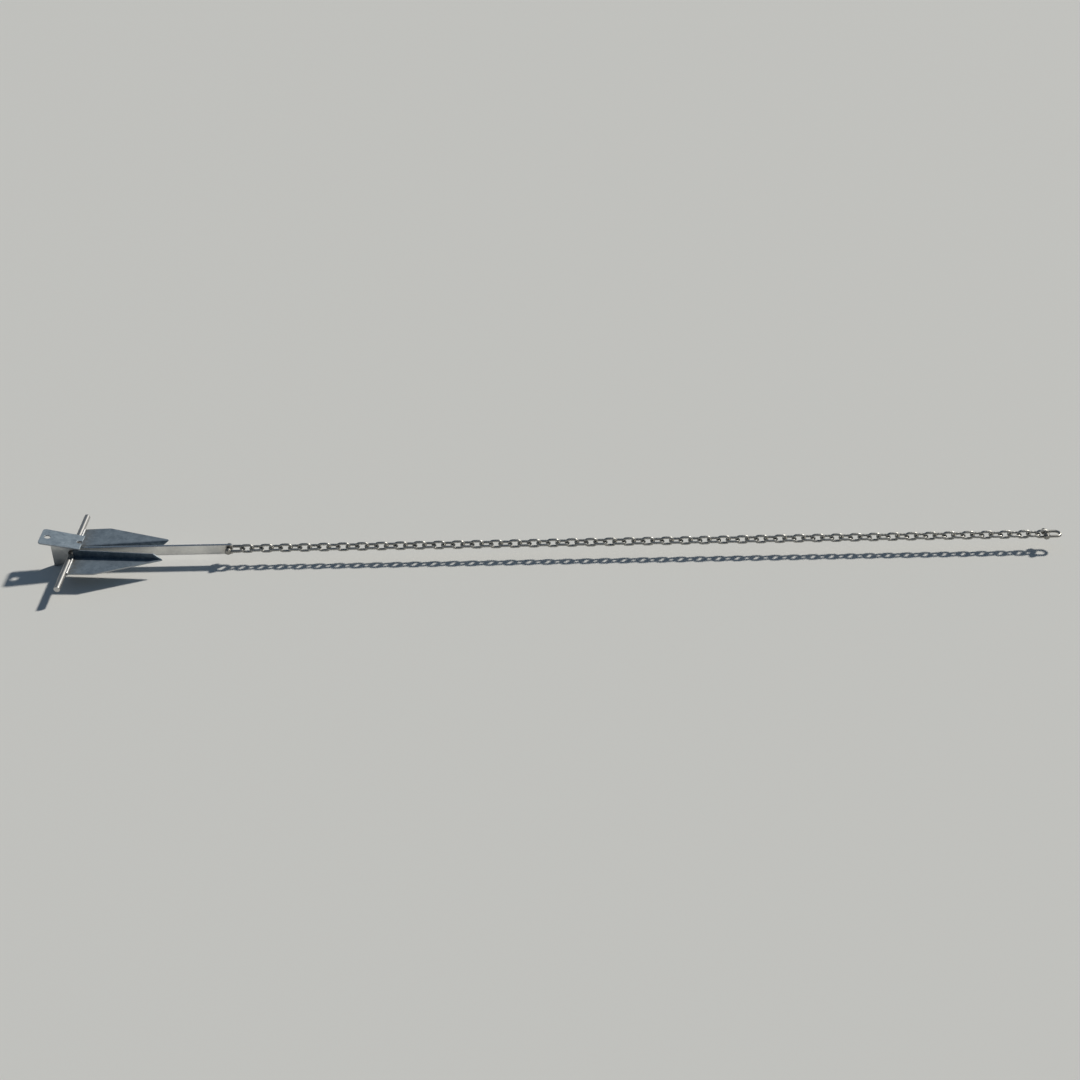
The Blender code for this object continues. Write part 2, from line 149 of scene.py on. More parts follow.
class NodeGraph:
    """The nodes of one material or of the world."""

    MIX_AMOUNT, MIX_FIRST, MIX_SECOND = 0, 6, 7
    MIX_RESULT = 2

    def __init__(self, owner: Union[bpy.types.Material, bpy.types.World]) -> None:
        """Empties the node tree.

        Args:
            owner: The material or world that the nodes belong to.
        """
        owner.use_nodes = True
        self.tree = owner.node_tree
        self.tree.nodes.clear()

    def node(
        self,
        kind: str,
        settings: Optional[dict[str, Any]] = None,
        inputs: Optional[dict[Union[str, int], Any]] = None,
        output: Union[str, int] = 0,
    ) -> Socket:
        """Adds any node.

        Args:
            kind: The node's type.
            settings: Its properties, set first; "stops" are a ramp's places and colours.
            inputs: Values or sockets for its inputs, by name or number.
            output: The output to hand back, by name or number.

        Returns:
            The chosen output as a value, or the node's first output.
        """
        made = self.tree.nodes.new(kind)
        for key, value in (settings or {}).items():
            if key == "stops":
                self._set_stops(made.color_ramp, value)
            else:
                setattr(made, key, value)
        for key, value in (inputs or {}).items():
            if isinstance(value, Socket):
                self.tree.links.new(value.socket, made.inputs[key])
            else:
                made.inputs[key].default_value = value
        return Socket(self, made.outputs[output] if made.outputs else None)

    @staticmethod
    def _set_stops(ramp: bpy.types.ColorRamp, stops: tuple[tuple[float, Colour], ...]) -> None:
        """Gives a ramp its stops.

        Args:
            ramp: The ramp.
            stops: The places and colours, in order.
        """
        while len(ramp.elements) < len(stops):
            ramp.elements.new(1.0)
        for element, (place, colour) in zip(ramp.elements, stops):
            element.position = place
            element.color = (*colour, 1.0)

    def mix(self, amount: Any, first: Any, second: Any) -> Socket:
        """One colour turning into another.

        Args:
            amount: 0 for the first colour and 1 for the second.
            first: A colour value or socket.
            second: A colour value or socket.

        Returns:
            The mixed colour.
        """
        pair = [value if isinstance(value, Socket) else (*value, 1.0) for value in (first, second)]
        settings = {"data_type": "RGBA", "clamp_factor": True}
        inputs = {self.MIX_AMOUNT: amount, self.MIX_FIRST: pair[0], self.MIX_SECOND: pair[1]}
        return self.node("ShaderNodeMix", settings, inputs, output=self.MIX_RESULT)

    def noise(self, place: Socket, size: float, detail: float) -> Socket:
        """Cloudy values about 0.5, with clouds of a size in metres and some finer layers."""
        inputs = {"Vector": place, "Scale": 1 / size, "Detail": detail}
        return self.node("ShaderNodeTexNoise", None, inputs)


@dataclass(frozen=True)
class Galvanised:
    """A zinc coat on steel, with grains, clouds, worn rims, stains and painted shade.

    Attributes:
        name: The material's name.
        slot: The record's slot that it belongs to.
        light: Colour of the bright zinc.
        dark: Colour of the dull zinc.
        worn: Colour where the coat is rubbed.
        cloud: Width of the dull clouds, in metres.
        roughness: Roughness of the plain coat.
        stain: Colour of the stains.
        grime: Colour of the shade that is painted in folds, on seams and round the crown.
        grain: Width of the zinc's crystal grains, in metres.
        grain_share: How far the grains change the colour.
        spread: How far the roughness changes over the coat.
        worn_roughness: Roughness where it is rubbed.
        painted_shade_roughness: Roughness where shade is painted.
        relief: Height of the coat's small lumps, in metres.
        lump: Width of those lumps, in metres.
    """

    name: str
    slot: Slot
    light: Colour
    dark: Colour
    worn: Colour
    cloud: float
    roughness: float
    stain: Colour = (0.20, 0.18, 0.15)
    # Painted shade colour, near black, used where shade is painted on the stock and the weld beads.
    grime: Colour = (0.07, 0.068, 0.066)
    grain: float = 2.5 * MM
    grain_share: float = 0.3
    spread: float = 0.06
    worn_roughness: float = 0.34
    painted_shade_roughness: float = 0.85
    relief: float = 0.05 * MM
    lump: float = 1.0 * MM

    CLOUD_LAYERS = 4.0
    LUMP_LAYERS = 2.0
    STREAK_LAYERS = 5.0
    STREAKS_IN_CLOUD = 3
    CLOUD_STEP = (0.3, 0.7)
    RUB_STEP = (0.2, 0.55)
    STREAK_STEP = (0.35, 0.7)
    LEAST_STAIN = 0.35
    LEAST_SHADE_SHARE = 0.6

    def material(self) -> bpy.types.Material:
        """The node material.

        Each grain has a shade of its own, clouds of dull zinc lie over the grains, and the
        attributes "wear" and "stain" rub and brown the coat where the mesh says so; the attribute
        "grime" paints shade on it there, darker and rougher.

        Returns:
            The material, made once for each finish.
        """
        if self.name in bpy.data.materials:
            return bpy.data.materials[self.name]
        made = bpy.data.materials.new(self.name)
        graph = NodeGraph(made)
        place = graph.node("ShaderNodeTexCoord", output="Object")
        clouds = graph.noise(place, self.cloud, self.CLOUD_LAYERS)
        lumps = graph.noise(place, self.lump, self.LUMP_LAYERS)
        streaks = graph.noise(place, self.cloud / self.STREAKS_IN_CLOUD, self.STREAK_LAYERS)
        streaks = streaks.between(*self.STREAK_STEP)
        cells = {"Vector": place, "Scale": 1 / self.grain}
        cell = graph.node("ShaderNodeTexVoronoi", None, cells, output="Color")
        shade = graph.node("ShaderNodeSeparateColor", None, {"Color": cell}, output="Red")
        wear, stained, shade_mask = (
            graph.node("ShaderNodeAttribute", {"attribute_name": value}, output="Fac")
            for value in VALUES
        )

        dull = clouds.between(*self.CLOUD_STEP) * (1 - self.grain_share) + shade * self.grain_share
        stained_share = stained * (self.LEAST_STAIN + streaks * (1 - self.LEAST_STAIN))
        shade_share = shade_mask * (self.LEAST_SHADE_SHARE + streaks * (1 - self.LEAST_SHADE_SHARE))
        rubbed = wear * clouds.between(*self.RUB_STEP)
        coat = graph.mix(dull, self.light, self.dark)
        coat = graph.mix(stained_share, coat, self.stain)
        coat = graph.mix(rubbed, coat, self.worn)
        # Painted shade: the coat turns to the painted-shade colour, in streaks, where the mesh marks
        # shade.
        coat = graph.mix(shade_share, coat, self.grime)

        roughness = self.roughness + (dull - 0.5) * (2 * self.spread) + stained * self.spread
        roughness = roughness + rubbed * (self.worn_roughness - self.roughness)
        roughness = roughness + shade_mask * (self.painted_shade_roughness - self.roughness)
        bump = {"Strength": 1.0, "Distance": self.relief, "Height": lumps}
        normal = graph.node("ShaderNodeBump", None, bump)
        inputs = {"Base Color": coat, "Metallic": 1.0, "Roughness": roughness, "Normal": normal}
        shader = graph.node("ShaderNodeBsdfPrincipled", None, inputs)
        graph.node("ShaderNodeOutputMaterial", None, {"Surface": shader})
        return made


PLATE_ZINC = Galvanised(
    name="plate_zinc",
    slot=Slot.PLATE,
    light=(0.345, 0.41, 0.46),
    dark=(0.19, 0.235, 0.28),
    worn=(0.48, 0.50, 0.515),
    # Painted shade for the flukes' folds and turned edges: blue-grey, painted shade with a painted
    # reflection of the sky in it.
    grime=(0.09, 0.145, 0.20),
    cloud=26 * MM,
    roughness=0.62,
    grain=7 * MM,
    grain_share=0.45,
    spread=0.04,
    worn_roughness=0.48,
    lump=1.6 * MM,
)
STOCK_ZINC = Galvanised(
    name="stock_zinc",
    slot=Slot.STOCK,
    light=(0.48, 0.475, 0.465),
    dark=(0.36, 0.355, 0.345),
    worn=(0.56, 0.56, 0.55),
    cloud=30 * MM,
    roughness=0.42,
    grain=4 * MM,
    grain_share=0.25,
    spread=0.05,
    relief=0.03 * MM,
    lump=1.2 * MM,
)
SHANK_ZINC = Galvanised(
    name="shank_zinc",
    slot=Slot.SHANK,
    light=(0.775, 0.77, 0.74),
    dark=(0.64, 0.635, 0.615),
    worn=(0.62, 0.635, 0.65),
    stain=(0.30, 0.25, 0.19),
    # Painted shade colour for the web's lower part.
    grime=(0.14, 0.14, 0.14),
    cloud=50 * MM,
    roughness=0.32,
    worn_roughness=0.24,
    grain=6 * MM,
    grain_share=0.35,
    spread=0.05,
    relief=0.04 * MM,
    lump=1.5 * MM,
)
WELD_ZINC = Galvanised(
    name="weld_zinc",
    slot=Slot.PLATE,
    light=(0.56, 0.57, 0.57),
    dark=(0.42, 0.43, 0.44),
    worn=(0.62, 0.62, 0.62),
    cloud=12 * MM,
    roughness=0.52,
    worn_roughness=0.42,
    relief=0.06 * MM,
)
SHACKLE_ZINC = Galvanised(
    name="shackle_zinc",
    slot=Slot.SHACKLE,
    light=(0.34, 0.33, 0.31),
    dark=(0.19, 0.185, 0.17),
    worn=(0.58, 0.57, 0.54),
    cloud=14 * MM,
    roughness=0.44,
    relief=0.06 * MM,
    lump=1.1 * MM,
)
CHAIN_ZINC = Galvanised(
    name="chain_zinc",
    slot=Slot.CHAIN,
    light=(0.44, 0.435, 0.41),
    dark=(0.26, 0.255, 0.24),
    worn=(0.58, 0.57, 0.53),
    cloud=20 * MM,
    roughness=0.46,
    grain=2.2 * MM,
)


@dataclass
class Surface:
    """Points, faces and the values that the finishes read.

    Attributes:
        points: One row for each vertex.
        quads: Four vertex numbers for each four-cornered face.
        tris: Three vertex numbers for each triangle.
        wear: How far each vertex is rubbed, 0 to 1.
        stain: How far each vertex is stained, 0 to 1.
        grime: How much shade is painted on each vertex, 0 to 1.
    """

    points: Array
    quads: Array
    tris: Array = field(default_factory=lambda: np.zeros((0, 3), int))
    wear: Optional[Array] = None
    stain: Optional[Array] = None
    grime: Optional[Array] = None

    def values(self, name: str) -> Array:
        """The named values, or zeros where none were given."""
        kept = getattr(self, name)
        return np.zeros(len(self.points)) if kept is None else kept

    def moved(self, matrix: Array, offset: Array) -> "Surface":
        """The surface turned by a matrix and then carried by an offset."""
        return replace(self, points=self.points @ matrix.T + offset)

    @staticmethod
    def joined(parts: list["Surface"]) -> "Surface":
        """Several surfaces as one.

        Args:
            parts: The surfaces.

        Returns:
            One surface, with its vertex numbers counted on.
        """
        starts = np.cumsum([0] + [len(part.points) for part in parts[:-1]])
        return Surface(
            np.concatenate([part.points for part in parts]),
            np.concatenate([part.quads + start for part, start in zip(parts, starts)]),
            np.concatenate([part.tris + start for part, start in zip(parts, starts)]),
            *(np.concatenate([part.values(name) for part in parts]) for name in VALUES),
        )

    def mesh(self, name: str) -> bpy.types.Mesh:
        """A smooth-shaded mesh with the wear and stain attributes and the grime attribute, which
        holds painted shade.

        Args:
            name: The mesh's name.

        Returns:
            The mesh.
        """
        made = bpy.data.meshes.new(name)
        corners = np.concatenate([self.quads.ravel(), self.tris.ravel()]).astype(np.int32)
        sizes = np.repeat((4, 3), (len(self.quads), len(self.tris))).astype(np.int32)
        made.vertices.add(len(self.points))
        made.vertices.foreach_set("co", self.points.astype(np.float32).ravel())
        made.loops.add(len(corners))
        made.loops.foreach_set("vertex_index", corners)
        made.polygons.add(len(sizes))
        made.polygons.foreach_set("loop_start", (np.cumsum(sizes) - sizes).astype(np.int32))
        for value in VALUES:
            layer = made.attributes.new(value, "FLOAT", "POINT")
            layer.data.foreach_set("value", self.values(value).astype(np.float32))
        made.update(calc_edges=True)
        made.validate()
        made.shade_smooth()
        return made


def add_piece(
    name: str, surface: Surface, finish: Galvanised, *nodes: str, body: str = Body.CROWN.value
) -> None:
    """Puts a piece into the scene on its body.

    Args:
        name: The piece's name.
        surface: Its shape, in the frame.
        finish: Its finish.
        nodes: The CAD nodes that it stands for.
        body: The frame's body that carries it.
    """
    piece = bpy.data.objects.new(name, surface.mesh(name))
    piece.data.materials.append(finish.material())
    bpy.context.scene.collection.objects.link(piece)
    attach(piece, body)
    if nodes:
        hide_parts(*nodes)
    LOG.info("%s: %d points on %s", name, len(surface.points), body)


def clamped(values: Array) -> Array:
    """Values held between 0 and 1."""
    return np.clip(values, 0, 1)


def unit(vectors: Array) -> Array:
    """Vectors, one in a row, scaled to a length of one."""
    return vectors / np.linalg.norm(vectors, axis=-1, keepdims=True)


def ring_angles(count: int) -> Array:
    """Even angles round a circle."""
    return np.arange(count) * TURN / count


def line(along: Array, height: float) -> Array:
    """Places along a plane's first axis, all at one height."""
    return np.stack([along, np.full(len(along), height)], axis=1)


def grid_quads(rows: int, columns: int, wrap_rows: bool, wrap_columns: bool) -> Array:
    """Faces of a grid of points kept row by row.

    Args:
        rows: How many rows the grid has.
        columns: How many points a row has.
        wrap_rows: Whether the last row joins the first.
        wrap_columns: Whether a row's last point joins its first.

    Returns:
        Four vertex numbers for each face, facing the column's way crossed with the row's way.
    """
    row = np.arange(rows if wrap_rows else rows - 1)[:, None]
    column = np.arange(columns if wrap_columns else columns - 1)[None, :]
    here, above = row * columns, (row + 1) % rows * columns
    after = (column + 1) % columns
    corners = (here + column, here + after, above + after, above + column)
    return np.stack(corners, axis=-1).reshape(-1, 4)


def fans(rows: int, columns: int) -> Array:
    """Triangles from two poles, numbered after a grid, to its first and its last row.

    Args:
        rows: How many rows the grid has.
        columns: How many points a row has.

    Returns:
        Three vertex numbers for each triangle.
    """
    here = np.arange(columns)
    after = (here + 1) % columns
    first_pole = np.full(columns, rows * columns)
    last = (rows - 1) * columns
    start = np.stack([first_pole, after, here], axis=-1)
    end = np.stack([first_pole + 1, last + here, last + after], axis=-1)
    return np.concatenate([start, end])


def swept(path: Array, normal: Array, binormal: Array, radii: Array, closed: bool) -> Surface:
    """A round profile carried along a path.

    Each point is the path's point plus the ring's radius times the cosine of the angle along the
    normal and its sine along the binormal. An open path ends in poles.

    Args:
        path: The path's points.
        normal: A unit vector across the path at each point.
        binormal: The vector such that normal crossed with binormal is the path's way.
        radii: The radius for each point of the path and each angle.
        closed: Whether the path is a loop.

    Returns:
        The surface.
    """
    rows, columns = radii.shape
    angle = ring_angles(columns)[None, :, None]
    across = normal[:, None, :] * np.cos(angle) + binormal[:, None, :] * np.sin(angle)
    points = (path[:, None, :] + across * radii[:, :, None]).reshape(-1, 3)
    quads = grid_quads(rows, columns, closed, True)
    if closed:
        return Surface(points, quads)
    return Surface(np.concatenate([points, path[[0, -1]]]), quads, fans(rows, columns))


def turned(profile: Array, sides: int, closed: bool) -> Surface:
    """A profile turned about the Y axis.

    Each point is the profile's place along Y plus its radius times the cosine of the angle along
    Z and its sine along X.

    Args:
        profile: Rows of a place and a radius; an open profile starts and ends on the axis.
        sides: How many points go round.
        closed: Whether the profile is a loop, as of a ring.

    Returns:
        The surface, about the origin.
    """
    angle = ring_angles(sides)[:, None]
    rings = profile if closed else profile[1:-1]
    around = AXIS_Z * np.cos(angle) + AXIS_X * np.sin(angle)
    points = (AXIS_Y * rings[:, None, :1] + around[None] * rings[:, None, 1:]).reshape(-1, 3)
    quads = grid_quads(len(rings), sides, closed, True)
    if closed:
        return Surface(points, quads)
    poles = AXIS_Y * profile[[0, -1], :1]
    return Surface(np.concatenate([points, poles]), quads, fans(len(rings), sides))


def rounded(
    corners: Array, radius: Union[float, Array], steps: int, closed: bool = True
) -> Array:
    """A polygon with its corners rounded into arcs.

    At each corner the arc touches both sides, so it starts at the radius over the tangent of half
    the corner's angle, and its centre lies on the bisector at the radius over the sine of that
    half angle. Points on the arc go evenly from one touching point to the other.

    Args:
        corners: The corners in order.
        radius: One radius, or one for each corner; 0 keeps a corner sharp.
        steps: How many chords an arc has.
        closed: Whether the last corner joins the first.

    Returns:
        The points.
    """
    corners = np.asarray(corners, float)
    radius = np.broadcast_to(np.asarray(radius, float), len(corners)).copy()
    back = unit(np.roll(corners, 1, axis=0) - corners)
    ahead = unit(np.roll(corners, -1, axis=0) - corners)
    half = np.arccos(np.clip((back * ahead).sum(1), -1, 1)) / 2
    if not closed:
        radius[[0, -1]] = 0
        half[[0, -1]] = QUARTER / 2
    sweep = np.maximum(math.pi - 2 * half, STRAIGHT)[:, None, None]
    middle = back + ahead
    middle /= np.maximum(np.linalg.norm(middle, axis=1, keepdims=True), STRAIGHT)
    centre = corners + middle * (radius / np.sin(half))[:, None]
    reach = (radius / np.tan(half))[:, None]
    start = (corners + back * reach - centre)[:, None]
    end = (corners + ahead * reach - centre)[:, None]
    share = np.linspace(0, 1, steps + 1)[None, :, None]
    turn = (np.sin((1 - share) * sweep) * start + np.sin(share * sweep) * end) / np.sin(sweep)
    points = (centre[:, None] + turn).reshape(-1, 2)
    gaps = np.linalg.norm(points - np.roll(points, 1, axis=0), axis=1)
    if not closed:
        gaps[0] = np.inf
    return points[gaps > SAME_PLACE]


def arc(centre: Pair, radius: float, start: float, end: float, steps: int) -> Array:
    """Points on a circle from one angle to another, both ends included."""
    angle = np.linspace(start, end, steps + 1)
    return np.array(centre) + radius * np.stack([np.cos(angle), np.sin(angle)], axis=1)


def hole_loop(centre: Pair, radius: float, steps: int = 40) -> Array:
    """A round hole's loop, which runs clockwise so that the plate lies on its left."""
    return arc(centre, radius, TURN, 0, steps)[:-1]


def divided(loop: Array, step: float) -> Array:
    """A loop with points added so that no side is longer than a step.

    Args:
        loop: The loop's points.
        step: The longest side.

    Returns:
        The loop's own points with even points between them.
    """
    ahead = np.roll(loop, -1, axis=0)
    counts = np.maximum(np.ceil(np.linalg.norm(ahead - loop, axis=1) / step), 1).astype(int)
    side = np.repeat(np.arange(len(loop)), counts)
    number = np.arange(counts.sum()) - np.repeat(np.cumsum(counts) - counts, counts)
    share = (number / counts[side])[:, None]
    return loop[side] * (1 - share) + ahead[side] * share


def inside(points: Array, loops: list[Array]) -> Array:
    """Which points lie within a plate's outline and outside its holes.

    A line from the point along the first axis crosses the loops an odd number of times where it
    is inside.

    Args:
        points: The points to test.
        loops: The outline and the holes.

    Returns:
        True for each point that lies on the plate.
    """
    start = np.concatenate(loops)
    end = np.concatenate([np.roll(loop, -1, axis=0) for loop in loops])
    height = points[:, None, 1]
    spans = (start[:, 1] > height) != (end[:, 1] > height)
    rise = np.where(end[:, 1] == start[:, 1], 1.0, end[:, 1] - start[:, 1])
    cross = start[:, 0] + (height - start[:, 1]) * (end[:, 0] - start[:, 0]) / rise
    return (spans & (points[:, None, 0] < cross)).sum(1) % 2 == 1


def flat(origin: Array, along: Array, across: Array) -> Lay:
    """A function that lays a plate's pattern into the plane of two axes at an origin."""
    basis = np.stack([along, across, np.cross(along, across)])
    return lambda pattern: origin + pattern @ basis


@dataclass
class Plate:
    """A plate cut to an outline, with rounded rims.

    Attributes:
        loops: The outline anticlockwise, then each hole clockwise.
        thickness: The plate's thickness.
        edge: Radius of its rims.
        rows: Lines of points inside the outline that the faces must follow.
    """

    loops: list[Array]
    thickness: float
    edge: float = 0.9 * MM
    rows: list[Array] = field(default_factory=list)

    ARC_STEPS = 4
    BAND = 0.35 * MM
    FILL_TOLERANCE = 1e-5

    def surface(self, lay: Lay) -> Surface:
        """The rims carried round the loops, with flat faces filled between them.

        A rim's profile goes from the upper face over a quarter circle, down the side and over a
        quarter circle to the lower face; each of its points is the loop's point set inwards along
        the mitred normal.

        Args:
            lay: The function that lays the flat pattern in the frame.

        Returns:
            The surface, with its rims marked as worn.
        """
        inset, height = self._profile()
        count = len(inset)
        rings, quads, tops, start = [], [], [], 0
        for loop in self.loops:
            places = loop[:, None, :] + self._inward(loop)[:, None, :] * inset[None, :, None]
            heights = np.broadcast_to(height[None, :, None], (len(loop), count, 1))
            rings.append(np.concatenate([places, heights], axis=2).reshape(-1, 3))
            quads.append(grid_quads(len(loop), count, True, False) + start)
            tops.append(start + np.arange(len(loop)) * count)
            start += len(loop) * count
        inner = np.concatenate(self.rows) if self.rows else np.zeros((0, 2))
        face = np.full((len(inner), 1), self.thickness / 2)
        pattern = np.concatenate([*rings, np.hstack([inner, face]), np.hstack([inner, -face])])
        within = start + np.arange(len(inner))
        top = np.concatenate([*tops, within])
        bottom = np.concatenate([*(ring + count - 1 for ring in tops), within + len(inner)])
        faces = self._filled(pattern[top, :2], [len(ring) for ring in tops])
        wear = np.zeros(len(pattern))
        wear[:start] = np.tile(np.sin(np.linspace(0, math.pi, count)) ** 2, start // count)
        tris = np.concatenate([top[faces], bottom[faces][:, ::-1]])
        return Surface(lay(pattern), np.concatenate(quads), tris, wear)

    def _profile(self) -> tuple[Array, Array]:
        """A rim's profile, over its upper and then its lower quarter circle.

        Returns:
            How far in and how high each point lies.
        """
        angle = np.linspace(0, QUARTER, self.ARC_STEPS + 1)
        inset = np.concatenate([[self.edge + self.BAND], self.edge * (1 - np.sin(angle))])
        height = np.concatenate([[0.0], self.edge * (np.cos(angle) - 1)]) + self.thickness / 2
        return np.concatenate([inset, inset[::-1]]), np.concatenate([height, -height[::-1]])

    @staticmethod
    def _inward(loop: Array) -> Array:
        """The mitred normals, to the left of the loop's way.

        Args:
            loop: The loop's points.

        Returns:
            One vector for each point, longer at a corner so that both sides keep their distance.
        """
        ahead = unit(np.roll(loop, -1, axis=0) - loop)
        left = np.stack([-ahead[:, 1], ahead[:, 0]], axis=1)
        before = np.roll(left, 1, axis=0)
        return (left + before) / (1 + (left * before).sum(1, keepdims=True))

    def _filled(self, places: Array, counts: list[int]) -> Array:
        """Triangles between the loops, which follow the rows.

        Faces whose corners lie in one line along a straight rim are left out.

        Args:
            places: The loops' points and then the rows' points.
            counts: How many points each loop has.

        Returns:
            Three point numbers for each triangle, anticlockwise.
        """
        starts = np.cumsum([0] + counts)
        loops = [places[first:last] for first, last in zip(starts[:-1], starts[1:])]
        edges = []
        for first, n in zip(starts, counts):
            edges.append(np.stack([np.arange(n), (np.arange(n) + 1) % n], 1) + first)
        first = starts[-1]
        for row in self.rows:
            edges.append(np.stack([np.arange(len(row) - 1), np.arange(1, len(row))], 1) + first)
            first += len(row)
        in_mm = [Vector(place) for place in places / MM]
        sides = np.concatenate(edges).tolist()
        result = geometry.delaunay_2d_cdt(in_mm, sides, [], 0, self.FILL_TOLERANCE)
        if len(result[0]) != len(places):
            raise ValueError("two lines of a plate's pattern cross")
        faces = np.array(result[2])
        side = places[faces[:, 1]] - places[faces[:, 0]]
        other = places[faces[:, 2]] - places[faces[:, 0]]
        area = side[:, 0] * other[:, 1] - side[:, 1] * other[:, 0]
        longest = np.max([(way**2).sum(1) for way in (side, other, other - side)], axis=0)
        kept = (np.abs(area) > STRAIGHT * longest) & inside(places[faces].mean(axis=1), loops)
        return np.where(area[kept, None] < 0, faces[kept][:, ::-1], faces[kept])


@dataclass
class Bead:
    """A weld bead, rippled as it was laid and rounded at its ends.

    The section is an ellipse, wider than it is high. Its radius swells and sinks with the length
    along the bead, later at the crown than at the sides, so that the ripples are crescents, and
    two slower waves make it uneven; towards each end it falls as a half ellipse.

    Attributes:
        radius: The bead's height over its middle.
        width: Its half width as a share of that height.
    """

    radius: float
    width: float = 1.0

    SIDES = 18
    SPACING = 0.5 * MM
    LEAST_POINTS = 8
    RIPPLE = 2.4 * MM
    RIPPLE_DEPTH = 0.010
    CREST_LAG = 0.9
    SLOW_WAVE = 23 * MM
    QUICK_WAVE = 9.3 * MM
    QUICK_SHARE = 0.3
    QUICK_PHASE = 1.0
    WAVE_HEIGHT = 0.03
    WAVE_DRIFT = 0.3
    TAPER = 1.2
    BLUNT = 0.02

    def along(self, path: Array, normal: Array) -> Surface:
        """The bead along a path.

        Args:
            path: Points along the bead, evenly spaced.
            normal: The way that the bead's crown faces, for each point.

        Returns:
            The surface, with its crown marked as worn.
        """
        steps = np.linalg.norm(np.diff(path, axis=0), axis=1)
        length = np.concatenate([[0.0], np.cumsum(steps)])
        binormal = np.cross(unit(np.gradient(path, axis=0)), normal)
        angle = ring_angles(self.SIDES)
        section = self.width / np.hypot(self.width * np.cos(angle), np.sin(angle))
        quick = self.QUICK_SHARE * np.sin(length * TURN / self.QUICK_WAVE + self.QUICK_PHASE)
        slow = (np.sin(length * TURN / self.SLOW_WAVE) + quick)[:, None]
        phase = length[:, None] / self.RIPPLE + self.WAVE_DRIFT * slow
        ripple = 1 + np.cos(TURN * (phase + self.CREST_LAG * np.cos(angle)))
        crest = section * (1 + self.WAVE_HEIGHT * slow - self.RIPPLE_DEPTH * ripple)
        end = np.minimum(length, length[-1] - length) / (self.TAPER * self.radius)
        taper = np.sqrt(1 - (1 - np.clip(end, self.BLUNT, 1)) ** 2)
        made = swept(path, normal, binormal, self.radius * crest * taper[:, None], closed=False)
        made.wear = np.append(np.tile(clamped(np.cos(angle)), len(path)), [0.0, 0.0])
        return made

    def between(self, start: Array, end: Array, normal: Array) -> Surface:
        """The bead between two places.

        Args:
            start: Its first end.
            end: Its other end.
            normal: The way that its crown faces.

        Returns:
            The surface.
        """
        count = round(float(np.linalg.norm(end - start)) / self.SPACING)
        share = np.linspace(0, 1, max(count, self.LEAST_POINTS))[:, None]
        path = start * (1 - share) + end * share
        return self.along(path, np.broadcast_to(unit(normal), path.shape))


@dataclass
class Stock:
    """The round rod across the crown."""

    centre: Array
    radius: float
    length: float
    rim: float = 1.2 * MM
    rim_steps: int = 5
    sides: int = 56
    spacing: float = 4 * MM
    end_wear_rims: float = 3.0
    least_wear: float = 0.15
    # Painted shade on the rod beside the cheeks, reaching further on the far side.
    near_painted_shade: Pair = (20 * MM, 29 * MM)
    far_painted_shade: Pair = (43 * MM, 56 * MM)

    def painted_shade_at(self, y: Array) -> Array:
        """How much shade is painted on the rod and its beads, fading from one place to another on
        each side.
        """
        start, end = np.where(y[:, None] > 0, self.far_painted_shade, self.near_painted_shade).T
        return clamped((end - np.abs(y)) / (end - start))

    def surface(self) -> Surface:
        """The rod turned about its axis, with rounded rims and even rings along its length.

        Returns:
            The surface, with its ends worn and its middle dirty.
        """
        half = self.length / 2
        corners = [(-half, 0.0), (-half, self.radius), (half, self.radius), (half, 0.0)]
        ends = rounded(np.array(corners), self.rim, self.rim_steps, closed=False)
        left, right = ends[ends[:, 0] < 0], ends[ends[:, 0] > 0]
        along = np.linspace(left[-1, 0], right[0, 0], round(self.length / self.spacing))[1:-1]
        profile = np.concatenate([left, line(along, self.radius), right])
        made = turned(profile, self.sides, closed=False)
        y = made.points[:, 1]
        from_end = (half - np.abs(y)) / (self.end_wear_rims * self.rim)
        made.wear = np.maximum(clamped(1 - from_end), self.least_wear)
        made.grime = self.painted_shade_at(y)
        made.points = made.points + self.centre
        return made

    def build(self) -> None:
        """Adds the rod."""
        add_piece("stock_rod", self.surface(), STOCK_ZINC, "stock")


